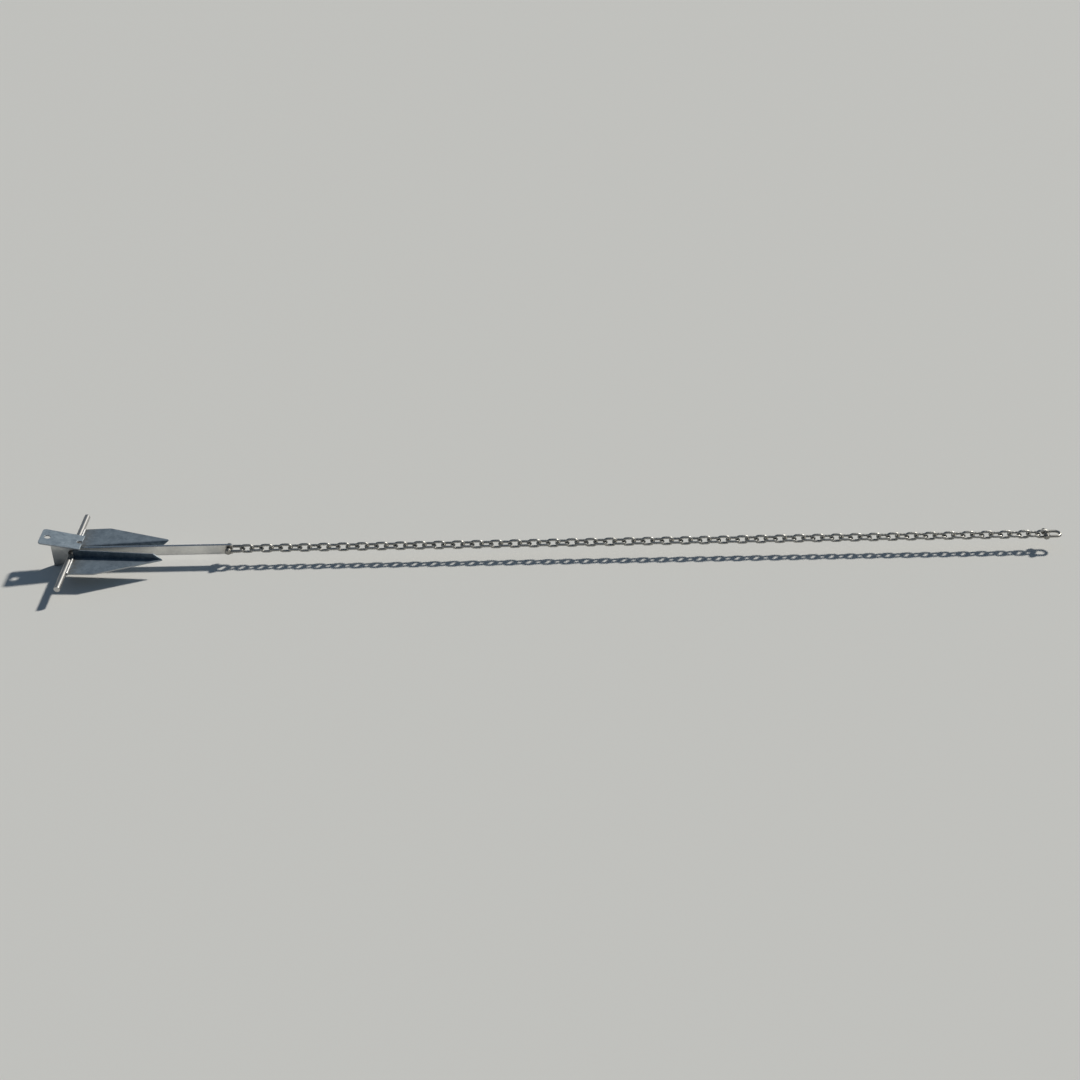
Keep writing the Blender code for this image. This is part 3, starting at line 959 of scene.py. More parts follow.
@dataclass
class Fluke:
    """The pressed plates: a blade with its inner edge turned up, the far one turned half round.

    The plate is drawn flat, with the first axis along the fold and the second from the blade to
    the turned edge, and folded about a bend of a mid radius. A place in the bend at an angle has
    its distance from the fold's line as the radius less its sine share, and its height as the
    radius less its cosine share.
    """

    centre: Array
    thickness: float = 4 * MM
    bend: float = 4 * MM
    root_inner: Pair = (8.3 * MM, -25 * MM)
    root_outer: Pair = (8.3 * MM, -109 * MM)
    widest: Pair = (78 * MM, -112.3 * MM)
    tip: Pair = (245.6 * MM, -49.8 * MM)
    fold_end: Pair = (236.7 * MM, -46.7 * MM)
    edge_root_height: float = 22 * MM
    edge_end_height: float = 17.8 * MM
    edge_nose: float = 14 * MM
    sharp_corner: float = 1.3 * MM
    blunt_corner: float = 2.5 * MM
    wide_corner: float = 6 * MM
    corner_steps: int = 5
    spacing: float = 5 * MM
    bend_rows: int = 7
    blade_rows: tuple[float, ...] = (0.6, 4, 9, 15, 24, 35, 48, 61, 72)
    edge_rows: tuple[float, ...] = (0.6, 5, 9.5)
    row_start: float = 2.2 * MM
    row_end: float = 6.6 * MM
    clearance: float = 3.8 * MM
    stain_reach: float = 45 * MM
    stain_fall: float = 1.5
    # Painted shade in the fold and on both faces of the turned edge.
    fold_shade_reach: float = 14 * MM
    edge_shade_weight: float = 0.25
    outer_painted_shade: float = 0.8

    def __post_init__(self) -> None:
        """Works out the fold's line and the ways along and across it."""
        fold = np.subtract(self.fold_end, self.root_inner)
        self.fold_length = float(np.linalg.norm(fold))
        self.along = fold / self.fold_length
        self.across = np.array((self.along[1], -self.along[0]))

    def _pattern_place(self, place: Pair) -> Pair:
        """A place on the blade as a place on the flat pattern."""
        offset = np.subtract(place, self.root_inner)
        return float(offset @ self.along), self.bend - float(offset @ self.across)

    def _edge_place(self, along: float, height: float) -> Pair:
        """A place on the turned edge as a place on the flat pattern."""
        return along, self.bend * QUARTER + height - self.bend

    def _root_slope(self) -> float:
        """How far the root edge leads along the fold for each step across it."""
        outer = self._pattern_place(self.root_outer)
        return outer[0] / (self.bend - outer[1])

    def pattern(self) -> Plate:
        """The flat plate.

        Returns:
            The plate, with lines of points along the bend and to both sides of it.
        """
        corners = [
            self._pattern_place(self.root_outer),
            self._pattern_place(self.widest),
            self._pattern_place(self.tip),
            self._edge_place(self.fold_length - self.edge_nose, self.edge_end_height),
            self._edge_place(0.0, self.edge_root_height),
            self._edge_place(0.0, self.bend),
            (self.bend * self._root_slope(), 0.0),
        ]
        blunt, sharp = self.blunt_corner, self.sharp_corner
        radii = np.array([blunt, self.wide_corner, sharp, blunt, sharp, 0, 0])
        outline = rounded(np.array(corners), radii, self.corner_steps)
        outline = divided(outline, self.spacing)
        bend = np.linspace(0, self.bend * QUARTER, self.bend_rows)
        blade = -MM * np.array(self.blade_rows)[::-1]
        edge = bend[-1] + MM * np.array(self.edge_rows)
        rows = [self._row(outline, level) for level in np.concatenate([blade, bend, edge])]
        return Plate([outline], self.thickness, rows=[row for row in rows if len(row) > 1])

    def _row(self, outline: Array, level: float) -> Array:
        """Points along the fold, clear of the rims.

        The line runs between the places where the outline crosses the level, less a margin at
        each end; off the bend, points too close to the outline are left out.

        Args:
            outline: The plate's outline.
            level: Where the line lies across the fold.

        Returns:
            The points, evenly spaced.
        """
        ahead = np.roll(outline, -1, axis=0)
        spans = (outline[:, 1] > level) != (ahead[:, 1] > level)
        first, last = outline[spans], ahead[spans]
        share = (level - first[:, 1]) / (last[:, 1] - first[:, 1])
        crossings = np.sort(first[:, 0] + share * (last[:, 0] - first[:, 0]))
        low, high = crossings[0] + self.row_start, crossings[-1] - self.row_end
        row = line(np.linspace(low, high, max(round((high - low) / self.spacing), 2)), level)
        if 0 <= level <= self.bend * QUARTER:
            return row
        gaps = np.linalg.norm(row[:, None] - outline[None], axis=2).min(axis=1)
        return row[gaps > self.clearance]

    def lay_near(self, pattern: Array) -> Array:
        """Folds the flat pattern into the near fluke's place.

        Args:
            pattern: Rows of a place along the fold, one across it and a height over the middle.

        Returns:
            Places in the frame.
        """
        level, height = pattern[:, 1], pattern[:, 2]
        angle = np.clip(level / self.bend, 0, QUARTER)
        out = self.bend * (1 - np.sin(angle)) + np.maximum(-level, 0) + height * np.sin(angle)
        rise = self.bend * (1 - np.cos(angle)) + np.maximum(level - self.bend * QUARTER, 0)
        rise = rise + height * np.cos(angle)
        plan = np.array(self.root_inner) + pattern[:, :1] * self.along + out[:, None] * self.across
        return self.centre + np.column_stack([plan, rise])

    def surface(self) -> Surface:
        """The near fluke.

        Returns:
            The surface, stained near its root, with shade painted in its fold and outside its turned
            edge.
        """
        made = self.pattern().surface(self.lay_near)
        offset = made.points - self.centre - np.array((*self.root_inner, 0.0))
        made.stain = clamped(1 - offset[:, 0] / self.stain_reach) ** self.stain_fall
        out, rise = offset[:, :2] @ self.across, offset[:, 2]
        # Painted shade: strongest in the fold, fading over the blade's top and up the turned edge's
        # inner face, with an even share on its outer face.
        from_fold = out + self.edge_shade_weight * np.maximum(rise - self.thickness / 2, 0)
        within = (out > 0) & (rise > 0)
        outside = self.outer_painted_shade * ((out < 0) & (rise > 0))
        made.grime = np.where(within, clamped(1 - from_fold / self.fold_shade_reach), outside)
        return made

    def build(self) -> None:
        """Adds both flukes."""
        near = self.surface()
        half_turn = np.diag((1.0, -1.0, -1.0))
        far = near.moved(half_turn, self.centre - half_turn @ self.centre)
        add_piece("near_fluke_plate", near, PLATE_ZINC, "near_fluke")
        add_piece("far_fluke_plate", far, PLATE_ZINC, "far_fluke")


@dataclass
class Palm:
    """The tilted plate over the crown, with its trip-line hole and the shank's slot."""

    centre: Array
    thickness: float = 4 * MM
    rear: Pair = (-75.7 * MM, 50.2 * MM)
    front: Pair = (29.1 * MM, 26.4 * MM)
    rear_width: float = 71.6 * MM
    front_width: float = 65.6 * MM
    rear_corner: float = 9 * MM
    front_corner: float = 2 * MM
    corner_steps: int = 10
    hole_radius: float = 8 * MM
    hole_setback: float = 17.7 * MM
    slot_half: float = 5.75 * MM
    slot_reach: float = 13.97 * MM
    slot_lip: float = 1.4 * MM
    slot_round: float = 0.999
    first_corner: int = 3

    def __post_init__(self) -> None:
        """Works out the plate's tilt and length."""
        run = np.subtract(self.front, self.rear)
        self.length = float(np.linalg.norm(run))
        self.tilt = math.atan2(-run[1], run[0])

    def underside(self, x: float) -> float:
        """Height of the lower face over the stock's axis at a place along it."""
        middle = self.front[1] + (self.front[0] - x) * math.tan(self.tilt)
        return middle - self.thickness / 2 / math.cos(self.tilt)

    def surface(self) -> Surface:
        """The plate with its hole and slot.

        The outline is a rectangle that narrows to its front, with the slot cut into the front
        edge; every corner is an arc, and the slot's end is nearly a half circle.

        Returns:
            The surface, laid at its tilt.
        """
        slot_end = self.length - self.slot_reach
        half = [
            (slot_end, self.slot_half),
            (self.length, self.slot_half),
            (self.length, self.front_width / 2),
            (0.0, self.rear_width / 2),
        ]
        bottom = self.slot_round * self.slot_half
        radii = np.array([bottom, self.slot_lip, self.front_corner, self.rear_corner])
        near = np.array(half[::-1]) * (1, -1)
        corners = np.roll(np.concatenate([half, near]), -self.first_corner, axis=0)
        radii = np.roll(np.concatenate([radii, radii[::-1]]), -self.first_corner)
        outline = rounded(corners, radii, self.corner_steps)
        hole = hole_loop((self.hole_setback, 0.0), self.hole_radius)
        along = np.array((math.cos(self.tilt), 0.0, -math.sin(self.tilt)))
        origin = self.centre + np.array((self.rear[0], 0.0, self.rear[1]))
        return Plate([outline, hole], self.thickness).surface(flat(origin, along, AXIS_Y))

    def build(self) -> None:
        """Adds the plate."""
        add_piece("trip_palm", self.surface(), PLATE_ZINC, "palm")


@dataclass
class CrownPlates:
    """The upright web in the shank's plane and the two cheeks beside the shank's eye."""

    centre: Array
    palm: Palm
    web_thickness: float = 7 * MM
    web_rear: float = -53.6 * MM
    web_horn: float = 10 * MM
    heel_drop: float = 41.2 * MM
    heel_length: float = 7 * MM
    mouth: float = 14.5 * MM
    swing: float = math.radians(30)
    cheek_thickness: float = 4 * MM
    cheek_side: float = 5.8 * MM
    cheek_rear: float = -33 * MM
    cheek_depth: float = 22 * MM
    cheek_edge: float = 0.7 * MM
    boss: float = 13 * MM
    bore: float = 8.3 * MM
    corner: float = 1.4 * MM
    corner_steps: int = 4
    mouth_steps: int = 28
    boss_steps: int = 24
    # Painted shade on the web, from a height over the stock's axis down to the heel.
    heel_painted_shade: float = 0.75
    shade_top: float = 12 * MM
    row_margin: float = 3 * MM
    row_points: int = 6
    row_places: tuple[Pair, ...] = ((24, 1.0), (10, 1.0), (-4, 1.0), (-16, 0.7), (-26, 0.35))

    def _seat(self, x: float) -> float:
        """Height of an edge set against the palm's lower face."""
        return self.palm.underside(x) - SEAT_GAP / math.cos(self.palm.tilt)

    def _upright(self, y: float) -> Lay:
        """Lays a pattern of X and Z into the upright plane at a place across."""
        return flat(self.centre + AXIS_Y * y, AXIS_X, AXIS_Z)

    def web(self) -> Surface:
        """The web, whose round mouth clears the shank's eye and whose straight lips stop the shank.

        Each lip leaves the mouth's circle along its tangent, at the angle of the shank's swing,
        and ends at the web's front.

        Returns:
            The surface, with shade painted towards its heel.
        """
        lip = QUARTER + self.swing
        lip_length = (self.web_horn - self.mouth * math.cos(lip)) / math.cos(self.swing)
        lip_z = self.mouth * math.sin(lip) + lip_length * math.sin(self.swing)
        lower = [
            (self.web_horn, self._seat(self.web_horn)),
            (self.web_rear, self._seat(self.web_rear)),
            (self.web_rear, -self.heel_drop),
            (self.web_rear + self.heel_length, -self.heel_drop),
            (self.web_horn, -self._seat(self.web_horn)),
            (self.web_horn, -lip_z),
        ]
        mouth = arc((0.0, 0.0), self.mouth, TURN - lip, lip, self.mouth_steps)
        corners = np.concatenate([lower, mouth, [(self.web_horn, lip_z)]])
        radii = np.full(len(corners), self.corner)
        radii[len(lower) : -1] = 0
        outline = rounded(corners, radii, self.corner_steps)
        plate = Plate([outline], self.web_thickness, rows=self._web_rows())
        made = plate.surface(self._upright(0.0))
        height = made.points[:, 2] - self.centre[2]
        depth = (self.shade_top - height) / (self.shade_top + self.heel_drop)
        made.grime = self.heel_painted_shade * clamped(depth)
        return made

    def _web_rows(self) -> list[Array]:
        """Level lines of points behind the mouth, which let the painted shade fade over the face.

        Returns:
            One line for each height, as long as its share of the web's depth.
        """
        start, end = self.web_rear + self.row_margin, -self.mouth - self.row_margin
        return [
            line(np.linspace(start, start + (end - start) * share, self.row_points), height * MM)
            for height, share in self.row_places
        ]

    def cheek(self, y: float) -> Surface:
        """One cheek, whose lower edge runs from its rear corner to touch the round of the boss.

        Args:
            y: Where its middle lies across.

        Returns:
            The surface.
        """
        rear_top = self._seat(self.cheek_rear)
        rear_bottom = rear_top - self.cheek_depth
        reach = math.hypot(self.cheek_rear, rear_bottom)
        touch = math.atan2(rear_bottom, self.cheek_rear) + math.acos(self.boss / reach)
        rear = [
            (self.boss, self._seat(self.boss)),
            (self.cheek_rear, rear_top),
            (self.cheek_rear, rear_bottom),
        ]
        boss = arc((0.0, 0.0), self.boss, touch, TURN, self.boss_steps)
        radii = np.repeat((self.corner, 0.0), (len(rear), len(boss)))
        outline = rounded(np.concatenate([rear, boss]), radii, self.corner_steps)
        loops = [outline, hole_loop((0.0, 0.0), self.bore)]
        plate = Plate(loops, self.cheek_thickness, edge=self.cheek_edge)
        return plate.surface(self._upright(y))

    def build(self) -> None:
        """Adds the web and the cheeks."""
        add_piece("crown_web_plate", self.web(), SHANK_ZINC, "crown_web")
        add_piece("near_cheek_plate", self.cheek(-self.cheek_side), SHANK_ZINC, "near_cheek")
        add_piece("far_cheek_plate", self.cheek(self.cheek_side), SHANK_ZINC, "far_cheek")


@dataclass
class Welds:
    """The beads that hold the crown together."""

    stock: Stock
    fluke: Fluke
    palm: Palm
    plates: CrownPlates
    root: Bead = field(default_factory=lambda: Bead(2.2 * MM, 1.4))
    seam: Bead = field(default_factory=lambda: Bead(1.9 * MM))
    ring: Bead = field(default_factory=lambda: Bead(1.7 * MM))
    root_facing: float = math.radians(37)
    root_sink: float = 0.7 * MM
    seam_sink: float = 0.4 * MM
    seam_margin: float = 2 * MM
    cheek_top: float = 3 * MM
    cheek_foot: float = 5 * MM
    ring_gap: float = 0.2 * MM
    ring_lift: float = 0.4 * MM
    ring_points: int = 100

    def roots(self, side: int) -> Surface:
        """Two beads along a fluke's root, over and under the plate.

        Args:
            side: -1 for the near fluke and 1 for the far one.

        Returns:
            The surface, with shade painted beside the crown.
        """
        x = self.fluke.root_inner[0] + self.root_sink
        z = self.fluke.thickness / 2 + self.root_sink
        inner, outer = abs(self.fluke.root_inner[1]), abs(self.fluke.root_outer[1])
        beads = []
        for up in (-1, 1):
            ends = [self.stock.centre + (x, side * y, up * z) for y in (inner, outer)]
            facing = (math.sin(self.root_facing), 0.0, up * math.cos(self.root_facing))
            beads.append(self.root.between(*ends, np.array(facing)))
        made = Surface.joined(beads)
        # Painted shade on the beads beside the crown, as on the stock; it takes the place of the
        # wear there.
        made.grime = self.stock.painted_shade_at(made.points[:, 1] - self.stock.centre[1])
        made.wear = made.wear * (1 - made.grime)
        return made

    def palm_seams(self) -> Surface:
        """Beads under the palm along the web's rear stretch and along each cheek.

        Returns:
            The surface.
        """
        plates, margin = self.plates, self.seam_margin
        outer = plates.cheek_side + plates.cheek_thickness / 2
        stretches = (
            (plates.web_rear + margin, plates.cheek_rear - margin, plates.web_thickness / 2),
            (plates.cheek_rear + margin, plates.boss - margin, outer),
        )
        beads = []
        for start, end, y in stretches:
            for side in (-1, 1):
                ends = [
                    self.stock.centre + (x, side * y, self.palm.underside(x) - self.seam_sink)
                    for x in (start, end)
                ]
                beads.append(self.seam.between(*ends, np.array((0.0, side, -1.0))))
        return Surface.joined(beads)

    def cheek_seams(self) -> Surface:
        """Upright beads where the cheeks' rear edges meet the web.

        Returns:
            The surface.
        """
        x = self.plates.cheek_rear
        y = self.plates.web_thickness / 2 + self.seam_sink
        top = self.palm.underside(x) - self.cheek_top
        bottom = top - self.plates.cheek_depth + self.cheek_foot
        beads = []
        for side in (-1, 1):
            ends = [self.stock.centre + (x, side * y, z) for z in (bottom, top)]
            beads.append(self.seam.between(*ends, np.array((-1.0, side, 0.0))))
        return Surface.joined(beads)

    def stock_rings(self) -> Surface:
        """Beads round the stock on the cheeks' outer faces.

        The path is a circle about the stock, and the bead's crown faces outwards and away from
        the cheek.

        Returns:
            The surface, with shade painted all over.
        """
        angle = np.linspace(0.0, TURN, self.ring_points)[:, None]
        around = AXIS_X * np.cos(angle) + AXIS_Z * np.sin(angle)
        circle = self.stock.centre + around * (self.stock.radius + self.ring_lift)
        y = self.plates.cheek_side + self.plates.cheek_thickness / 2 + self.ring_gap
        made = Surface.joined(
            [
                self.ring.along(circle + AXIS_Y * (side * y), unit(around + AXIS_Y * side))
                for side in (-1, 1)
            ]
        )
        # Painted shade over the whole ring, with no wear.
        made.wear = np.zeros(len(made.points))
        made.grime = np.ones(len(made.points))
        return made

    def build(self) -> None:
        """Adds the beads."""
        add_piece("near_root_welds", self.roots(-1), WELD_ZINC)
        add_piece("far_root_welds", self.roots(1), WELD_ZINC)
        add_piece("palm_welds", self.palm_seams(), WELD_ZINC)
        add_piece("cheek_welds", self.cheek_seams(), WELD_ZINC)
        add_piece("stock_welds", self.stock_rings(), WELD_ZINC)


@dataclass
class Shank:
    """The flat bar that swings on the stock."""

    centre: Array
    pin: Array
    height: float
    thickness: float
    bore: float = 8.3 * MM
    pin_bore: float = 4.3 * MM
    end_margin: float = 11.2 * MM
    corner: float = 3 * MM
    corner_steps: int = 8
    eye_steps: int = 28
    spacing: float = 7 * MM
    rows: Pair = (-0.4, 0.4)
    row_clearance: float = 2.0
    stain: float = 0.5
    stain_reach: float = 30 * MM

    def surface(self) -> Surface:
        """The bar with its round eye, its pin hole and rounded corners.

        The outline is a half circle about the stock and two straight edges to a square end, which
        lies a margin past the pin.

        Returns:
            The surface, stained about the pin.
        """
        half = self.height / 2
        pin_x = float(self.pin[0] - self.centre[0])
        end = pin_x + self.end_margin
        eye = arc((0.0, 0.0), half, QUARTER, 3 * QUARTER, self.eye_steps)
        corners = np.concatenate([eye, [(end, -half), (end, half)]])
        radii = np.repeat((0.0, self.corner), (len(eye), 2))
        outline = divided(rounded(corners, radii, self.corner_steps), self.spacing)
        bores = (((0.0, 0.0), self.bore), ((pin_x, 0.0), self.pin_bore))
        loops = [outline, *(hole_loop(*bore) for bore in bores)]
        start, stop = self.row_clearance * self.bore, pin_x - self.row_clearance * self.pin_bore
        along = np.arange(start, stop, self.spacing)
        rows = [line(along, share * half) for share in self.rows]
        plate = Plate(loops, self.thickness, rows=rows)
        made = plate.surface(flat(self.centre, AXIS_X, AXIS_Z))
        from_pin = np.abs(pin_x + self.centre[0] - made.points[:, 0])
        made.stain = clamped(1 - from_pin / self.stain_reach) * self.stain
        return made

    def build(self) -> None:
        """Adds the bar."""
        add_piece("shank_bar", self.surface(), SHANK_ZINC, "shank", body=Body.SHANK.value)


@dataclass
class Shackle:
    """A D-shackle: a bent bow with an eye at each leg, and its pin."""

    pin_place: Array
    body: Body
    wire: float = 8 * MM
    inside_width: float = 17 * MM
    reach: float = 44 * MM
    eye_radius: float = 8.5 * MM
    eye_length: float = 9 * MM
    eye_sink: float = 2 * MM
    eye_rims: Pair = (1.6 * MM, 0.6 * MM)
    eye_rim_steps: int = 5
    bore: float = 4.3 * MM
    pin_radius: float = 4 * MM
    head_radius: float = 6.5 * MM
    head_length: float = 2 * MM
    tail: float = 1.5 * MM
    pin_rims: tuple[float, ...] = (0.0, 0.9 * MM, 0.5 * MM, 0.2 * MM, 0.9 * MM, 0.0)
    pin_rim_steps: int = 4
    bow_points: int = 29
    leg_points: int = 7
    bar_sides: int = 24
    turned_sides: int = 40
    bar_wear: float = 0.35
    eye_wear: float = 0.1
    pin_wear: float = 0.2

    @property
    def leg(self) -> float:
        """How far each leg's middle lies from the shackle's."""
        return (self.inside_width + self.wire) / 2

    def bow(self) -> Surface:
        """The bent bar and its two eyes.

        The bar's path runs along one leg, round a half circle and back along the other; each eye
        is a ring turned about the pin's axis.

        Returns:
            The surface, about the pin's middle and rubbed inside its bend.
        """
        bow_x = self.reach - self.wire / 2 - self.leg
        turn = arc((bow_x, 0.0), self.leg, -QUARTER, QUARTER, self.bow_points - 1)
        leg_x = np.linspace(self.eye_radius - self.eye_sink, bow_x, self.leg_points + 1)[:-1]
        near = line(leg_x, -self.leg)
        plan = np.concatenate([near, turn, (near * (1, -1))[::-1]])
        way = unit(np.gradient(plan, axis=0))
        level = np.zeros(len(plan))
        path = np.column_stack([plan, level])
        normal = np.column_stack([way[:, 1], -way[:, 0], level])
        binormal = np.broadcast_to(-AXIS_Z, path.shape)
        radii = np.full((len(path), self.bar_sides), self.wire / 2)
        bar = swept(path, normal, binormal, radii, closed=False)
        bend = clamped((bar.points[:, 0] - bow_x) / self.leg)
        inner = np.tile(clamped(-np.cos(ring_angles(self.bar_sides))), len(path))
        bar.wear = np.maximum(self.bar_wear, bend * np.append(inner, [0, 0]))
        return Surface.joined([bar, self._eye(-self.leg), self._eye(self.leg)])

    def _eye(self, y: float) -> Surface:
        """A ring about the pin's axis, with rounded rims.

        Args:
            y: Where its middle lies across.

        Returns:
            The surface.
        """
        half, outer, inner = self.eye_length / 2, self.eye_radius, self.bore
        corners = [(y - half, outer), (y - half, inner), (y + half, inner), (y + half, outer)]
        radii = np.array([*self.eye_rims, *self.eye_rims[::-1]])
        profile = rounded(np.array(corners), radii, self.eye_rim_steps)[::-1]
        made = turned(profile, self.turned_sides, closed=True)
        made.wear = np.full(len(made.points), self.eye_wear)
        return made

    def pin(self) -> Surface:
        """The pin with its low round head on the near side, turned about its axis.

        Returns:
            The surface, about the pin's middle.
        """
        face = self.leg + self.eye_length / 2
        head = -face - SEAT_GAP
        corners = [
            (head - self.head_length, 0.0),
            (head - self.head_length, self.head_radius),
            (head, self.head_radius),
            (head, self.pin_radius),
            (face + self.tail, self.pin_radius),
            (face + self.tail, 0.0),
        ]
        rims = np.array(self.pin_rims)
        profile = rounded(np.array(corners), rims, self.pin_rim_steps, closed=False)
        made = turned(profile, self.turned_sides, closed=False)
        made.wear = np.full(len(made.points), self.pin_wear)
        return made

    def build(self) -> None:
        """Adds the bow and the pin."""
        name, still = self.body.value, np.eye(3)
        bow = self.bow().moved(still, self.pin_place)
        pin = self.pin().moved(still, self.pin_place)
        add_piece(f"{name}_bow", bow, SHACKLE_ZINC, name, body=name)
        add_piece(f"{name}_bolt", pin, SHACKLE_ZINC, f"{name}_pin", body=name)


@dataclass
class Chain:
    """The short-link chain, run by run."""

    joints: list[Array]
    first_seat: float = 8 * MM
    wire: float = 7 * MM
    inside_width: float = 12.7 * MM
    inside_length: float = 25.25 * MM
    overlap: float = 0.4 * MM
    links: int = 85
    per_run: int = 3
    arc_rings: int = 14
    leg_rings: int = 5
    sides: int = 16
    seam_swell: float = 0.09
    seam_length: float = 1.6 * MM
    least_wear: float = 0.3
    side_wear: float = 0.2

    def link(self) -> Surface:
        """One level link about the origin.

        A circle of the wire's radius is carried round a path of two half circles and two straight
        legs. The wire swells by a bell curve at the middle of one leg, where it was welded, and is
        rubbed bright inside its ends.

        Returns:
            The surface.
        """
        bend = (self.inside_width + self.wire) / 2
        reach = (self.inside_length - self.inside_width) / 2
        right = arc((reach, 0.0), bend, -QUARTER, QUARTER, self.arc_rings - 1)
        top = line(np.linspace(reach, -reach, self.leg_rings + 2)[1:-1], bend)
        plan = np.concatenate([right, top, -right, -top])
        middle = line(np.clip(plan[:, 0], -reach, reach), 0.0)
        level = np.zeros(len(plan))
        path = np.column_stack([plan, level])
        normal = np.column_stack([(plan - middle) / bend, level])
        from_seam = np.full(len(plan), np.inf)
        from_seam[len(right) : len(right) + len(top)] = top[:, 0]
        swell = 1 + self.seam_swell * np.exp(-((from_seam / self.seam_length) ** 2))
        radii = np.repeat((self.wire / 2 * swell)[:, None], self.sides, axis=1)
        binormal = np.broadcast_to(-AXIS_Z, path.shape)
        made = swept(path, normal, binormal, radii, closed=True)
        angle = ring_angles(self.sides)
        at_end = clamped((np.abs(plan[:, :1]) - reach) / bend)
        inner = at_end * clamped(-np.cos(angle))
        outer = self.least_wear + self.side_wear * np.sin(angle) ** 2
        made.wear = np.maximum(inner, outer).ravel()
        return made

    def run(self, number: int, first: Stand) -> Surface:
        """The links of one run.

        Args:
            number: The run's number, from 0.
            first: How its first link lies.

        Returns:
            The surface, in the frame.
        """
        seat = self.first_seat if number == 0 else self.wire
        start = self.inside_length / 2 - SEAT_GAP - seat / 2
        pitch = self.inside_length + self.overlap
        turns = {Stand.LEVEL: np.eye(3), Stand.UPRIGHT: np.stack([AXIS_X, -AXIS_Z, AXIS_Y])}
        level, parts, stand = self.link(), [], first
        for place in range(self.count(number)):
            offset = self.joints[number] + AXIS_X * (start + place * pitch)
            parts.append(level.moved(turns[stand], offset))
            stand = stand.other()
        return Surface.joined(parts)

    def count(self, number: int) -> int:
        """How many links a run holds."""
        return min(self.per_run, self.links - number * self.per_run)

    def build(self) -> None:
        """Adds every run; each starts crosswise to the last link of the run before it."""
        first = Stand.UPRIGHT
        for number in range(len(self.joints)):
            node = f"chain_run_{number + 1:02d}"
            links = self.run(number, first)
            add_piece(f"links_{number + 1:02d}", links, CHAIN_ZINC, node, body=node)
            if self.count(number) % 2 == 1:
                first = first.other()


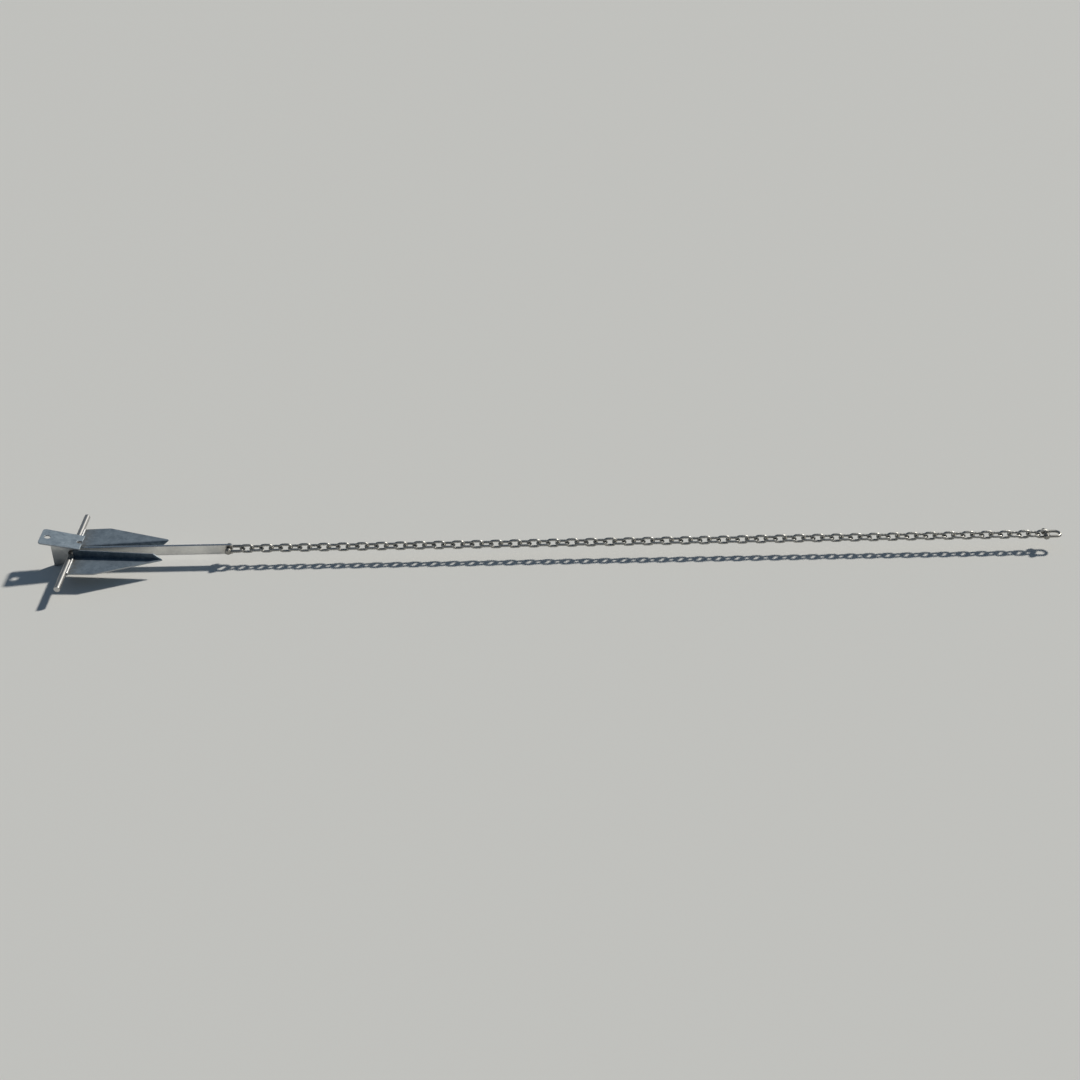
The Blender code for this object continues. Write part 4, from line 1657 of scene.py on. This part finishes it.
@dataclass
class Studio:
    """Floor, light and camera."""

    stock_place: Array
    camera_offset: tuple[float, float, float] = (1.12172, -3.38389, 2.14544)
    camera_turn: tuple[float, float, float] = (57.76, 0.0, -1.975)
    lens: float = 50.0
    sensor: float = 36.0
    floor_size: float = 60.0
    floor_colour: Colour = (0.68, 0.68, 0.655)
    floor_roughness: float = 0.95
    floor_gloss: float = 0.1
    key_direction: tuple[float, float, float] = (0.622, 0.459, 0.636)
    key_colour: Colour = (1.0, 0.955, 0.88)
    key_strength: float = 3.4
    key_angle: float = math.radians(4.5)
    sky: tuple[tuple[float, Colour], ...] = (
        (0.0, (0.53, 0.53, 0.51)),
        (0.04, (0.50, 0.505, 0.49)),
        (0.12, (0.27, 0.29, 0.31)),
        (0.32, (0.13, 0.165, 0.21)),
        (1.0, (0.07, 0.11, 0.165)),
    )
    sky_in_front: tuple[tuple[float, Colour], ...] = (
        (0.0, (0.53, 0.53, 0.51)),
        (0.03, (0.46, 0.465, 0.455)),
        (0.08, (0.16, 0.185, 0.21)),
        (0.3, (0.045, 0.065, 0.095)),
        (1.0, (0.07, 0.11, 0.165)),
    )
    sky_turn: Pair = (-0.5, 0.3)

    def floor(self) -> None:
        """A wide, plain, pale floor."""
        half = self.floor_size / 2
        corners = [(-half, -half, 0.0), (half, -half, 0.0), (half, half, 0.0), (-half, half, 0.0)]
        mesh = bpy.data.meshes.new("floor")
        mesh.from_pydata(corners, [], [(0, 1, 2, 3)])
        made = bpy.data.objects.new("floor", mesh)
        material = bpy.data.materials.new("pale_floor")
        graph = NodeGraph(material)
        inputs = {
            "Base Color": (*self.floor_colour, 1.0),
            "Roughness": self.floor_roughness,
            "Specular IOR Level": self.floor_gloss,
        }
        shader = graph.node("ShaderNodeBsdfPrincipled", None, inputs)
        graph.node("ShaderNodeOutputMaterial", None, {"Surface": shader})
        mesh.materials.append(material)
        bpy.context.scene.collection.objects.link(made)

    def light(self) -> None:
        """A soft key from the right and behind, and a cool sky that pales to the horizon."""
        lamp = bpy.data.lights.new("key", "SUN")
        lamp.energy = self.key_strength
        lamp.color = self.key_colour
        lamp.angle = self.key_angle
        key = bpy.data.objects.new("key", lamp)
        key.rotation_euler = Vector(self.key_direction).to_track_quat("Z", "Y").to_euler()
        bpy.context.scene.collection.objects.link(key)
        world = bpy.data.worlds.new("sky")
        graph = NodeGraph(world)
        place = {"Vector": graph.node("ShaderNodeTexCoord", output="Generated")}
        rise = {"Fac": graph.node("ShaderNodeSeparateXYZ", None, place, output="Z")}
        back = graph.node("ShaderNodeSeparateXYZ", None, place, output="Y")
        behind = graph.node("ShaderNodeValToRGB", {"stops": self.sky}, rise)
        in_front = graph.node("ShaderNodeValToRGB", {"stops": self.sky_in_front}, rise)
        colour = graph.mix(back.between(*self.sky_turn), in_front, behind)
        background = graph.node("ShaderNodeBackground", None, {"Color": colour, "Strength": 1.0})
        graph.node("ShaderNodeOutputWorld", None, {"Surface": background})
        bpy.context.scene.world = world

    def camera(self) -> None:
        """The photograph's viewpoint, in front and well above, with the whole chain in view."""
        data = bpy.data.cameras.new("camera")
        data.lens = self.lens
        data.sensor_width = self.sensor
        made = bpy.data.objects.new("camera", data)
        made.location = self.stock_place + self.camera_offset
        made.rotation_euler = [math.radians(turn) for turn in self.camera_turn]
        bpy.context.scene.collection.objects.link(made)
        bpy.context.scene.camera = made

    def build(self) -> None:
        """Adds the floor, the light and the camera."""
        bpy.context.scene.view_settings.view_transform = "Standard"
        self.floor()
        self.light()
        self.camera()
        LOG.info("floor, light and camera are in place")


def box_size(node: str) -> Array:
    """A CAD node's extent along each axis."""
    low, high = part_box(node)
    return np.array(high - low)


def main() -> None:
    """Builds the anchor, piece by piece, and the studio round it."""
    logging.basicConfig(level=logging.INFO, format="%(message)s")
    stock_place = joint_place("shank_pivot")
    shank_pin = joint_place("anchor_shackle_swing")
    stock_size, shank_size = box_size("stock"), box_size("shank")
    runs = sum(name.startswith("chain_run_") for name in frame["nodes"])

    Studio(stock_place).build()
    stock = Stock(stock_place, radius=stock_size[2] / 2, length=stock_size[1])
    fluke = Fluke(stock_place)
    palm = Palm(stock_place)
    plates = CrownPlates(stock_place, palm)
    stock.build()
    fluke.build()
    palm.build()
    plates.build()
    Welds(stock, fluke, palm, plates).build()
    Shank(stock_place, shank_pin, height=shank_size[2], thickness=shank_size[1]).build()
    Shackle(shank_pin, Body.ANCHOR_SHACKLE).build()
    Chain([joint_place(f"chain_swing_{number + 1:02d}") for number in range(runs)]).build()
    Shackle(joint_place("end_shackle_swing"), Body.END_SHACKLE).build()


if __name__ == "__main__":
    main()
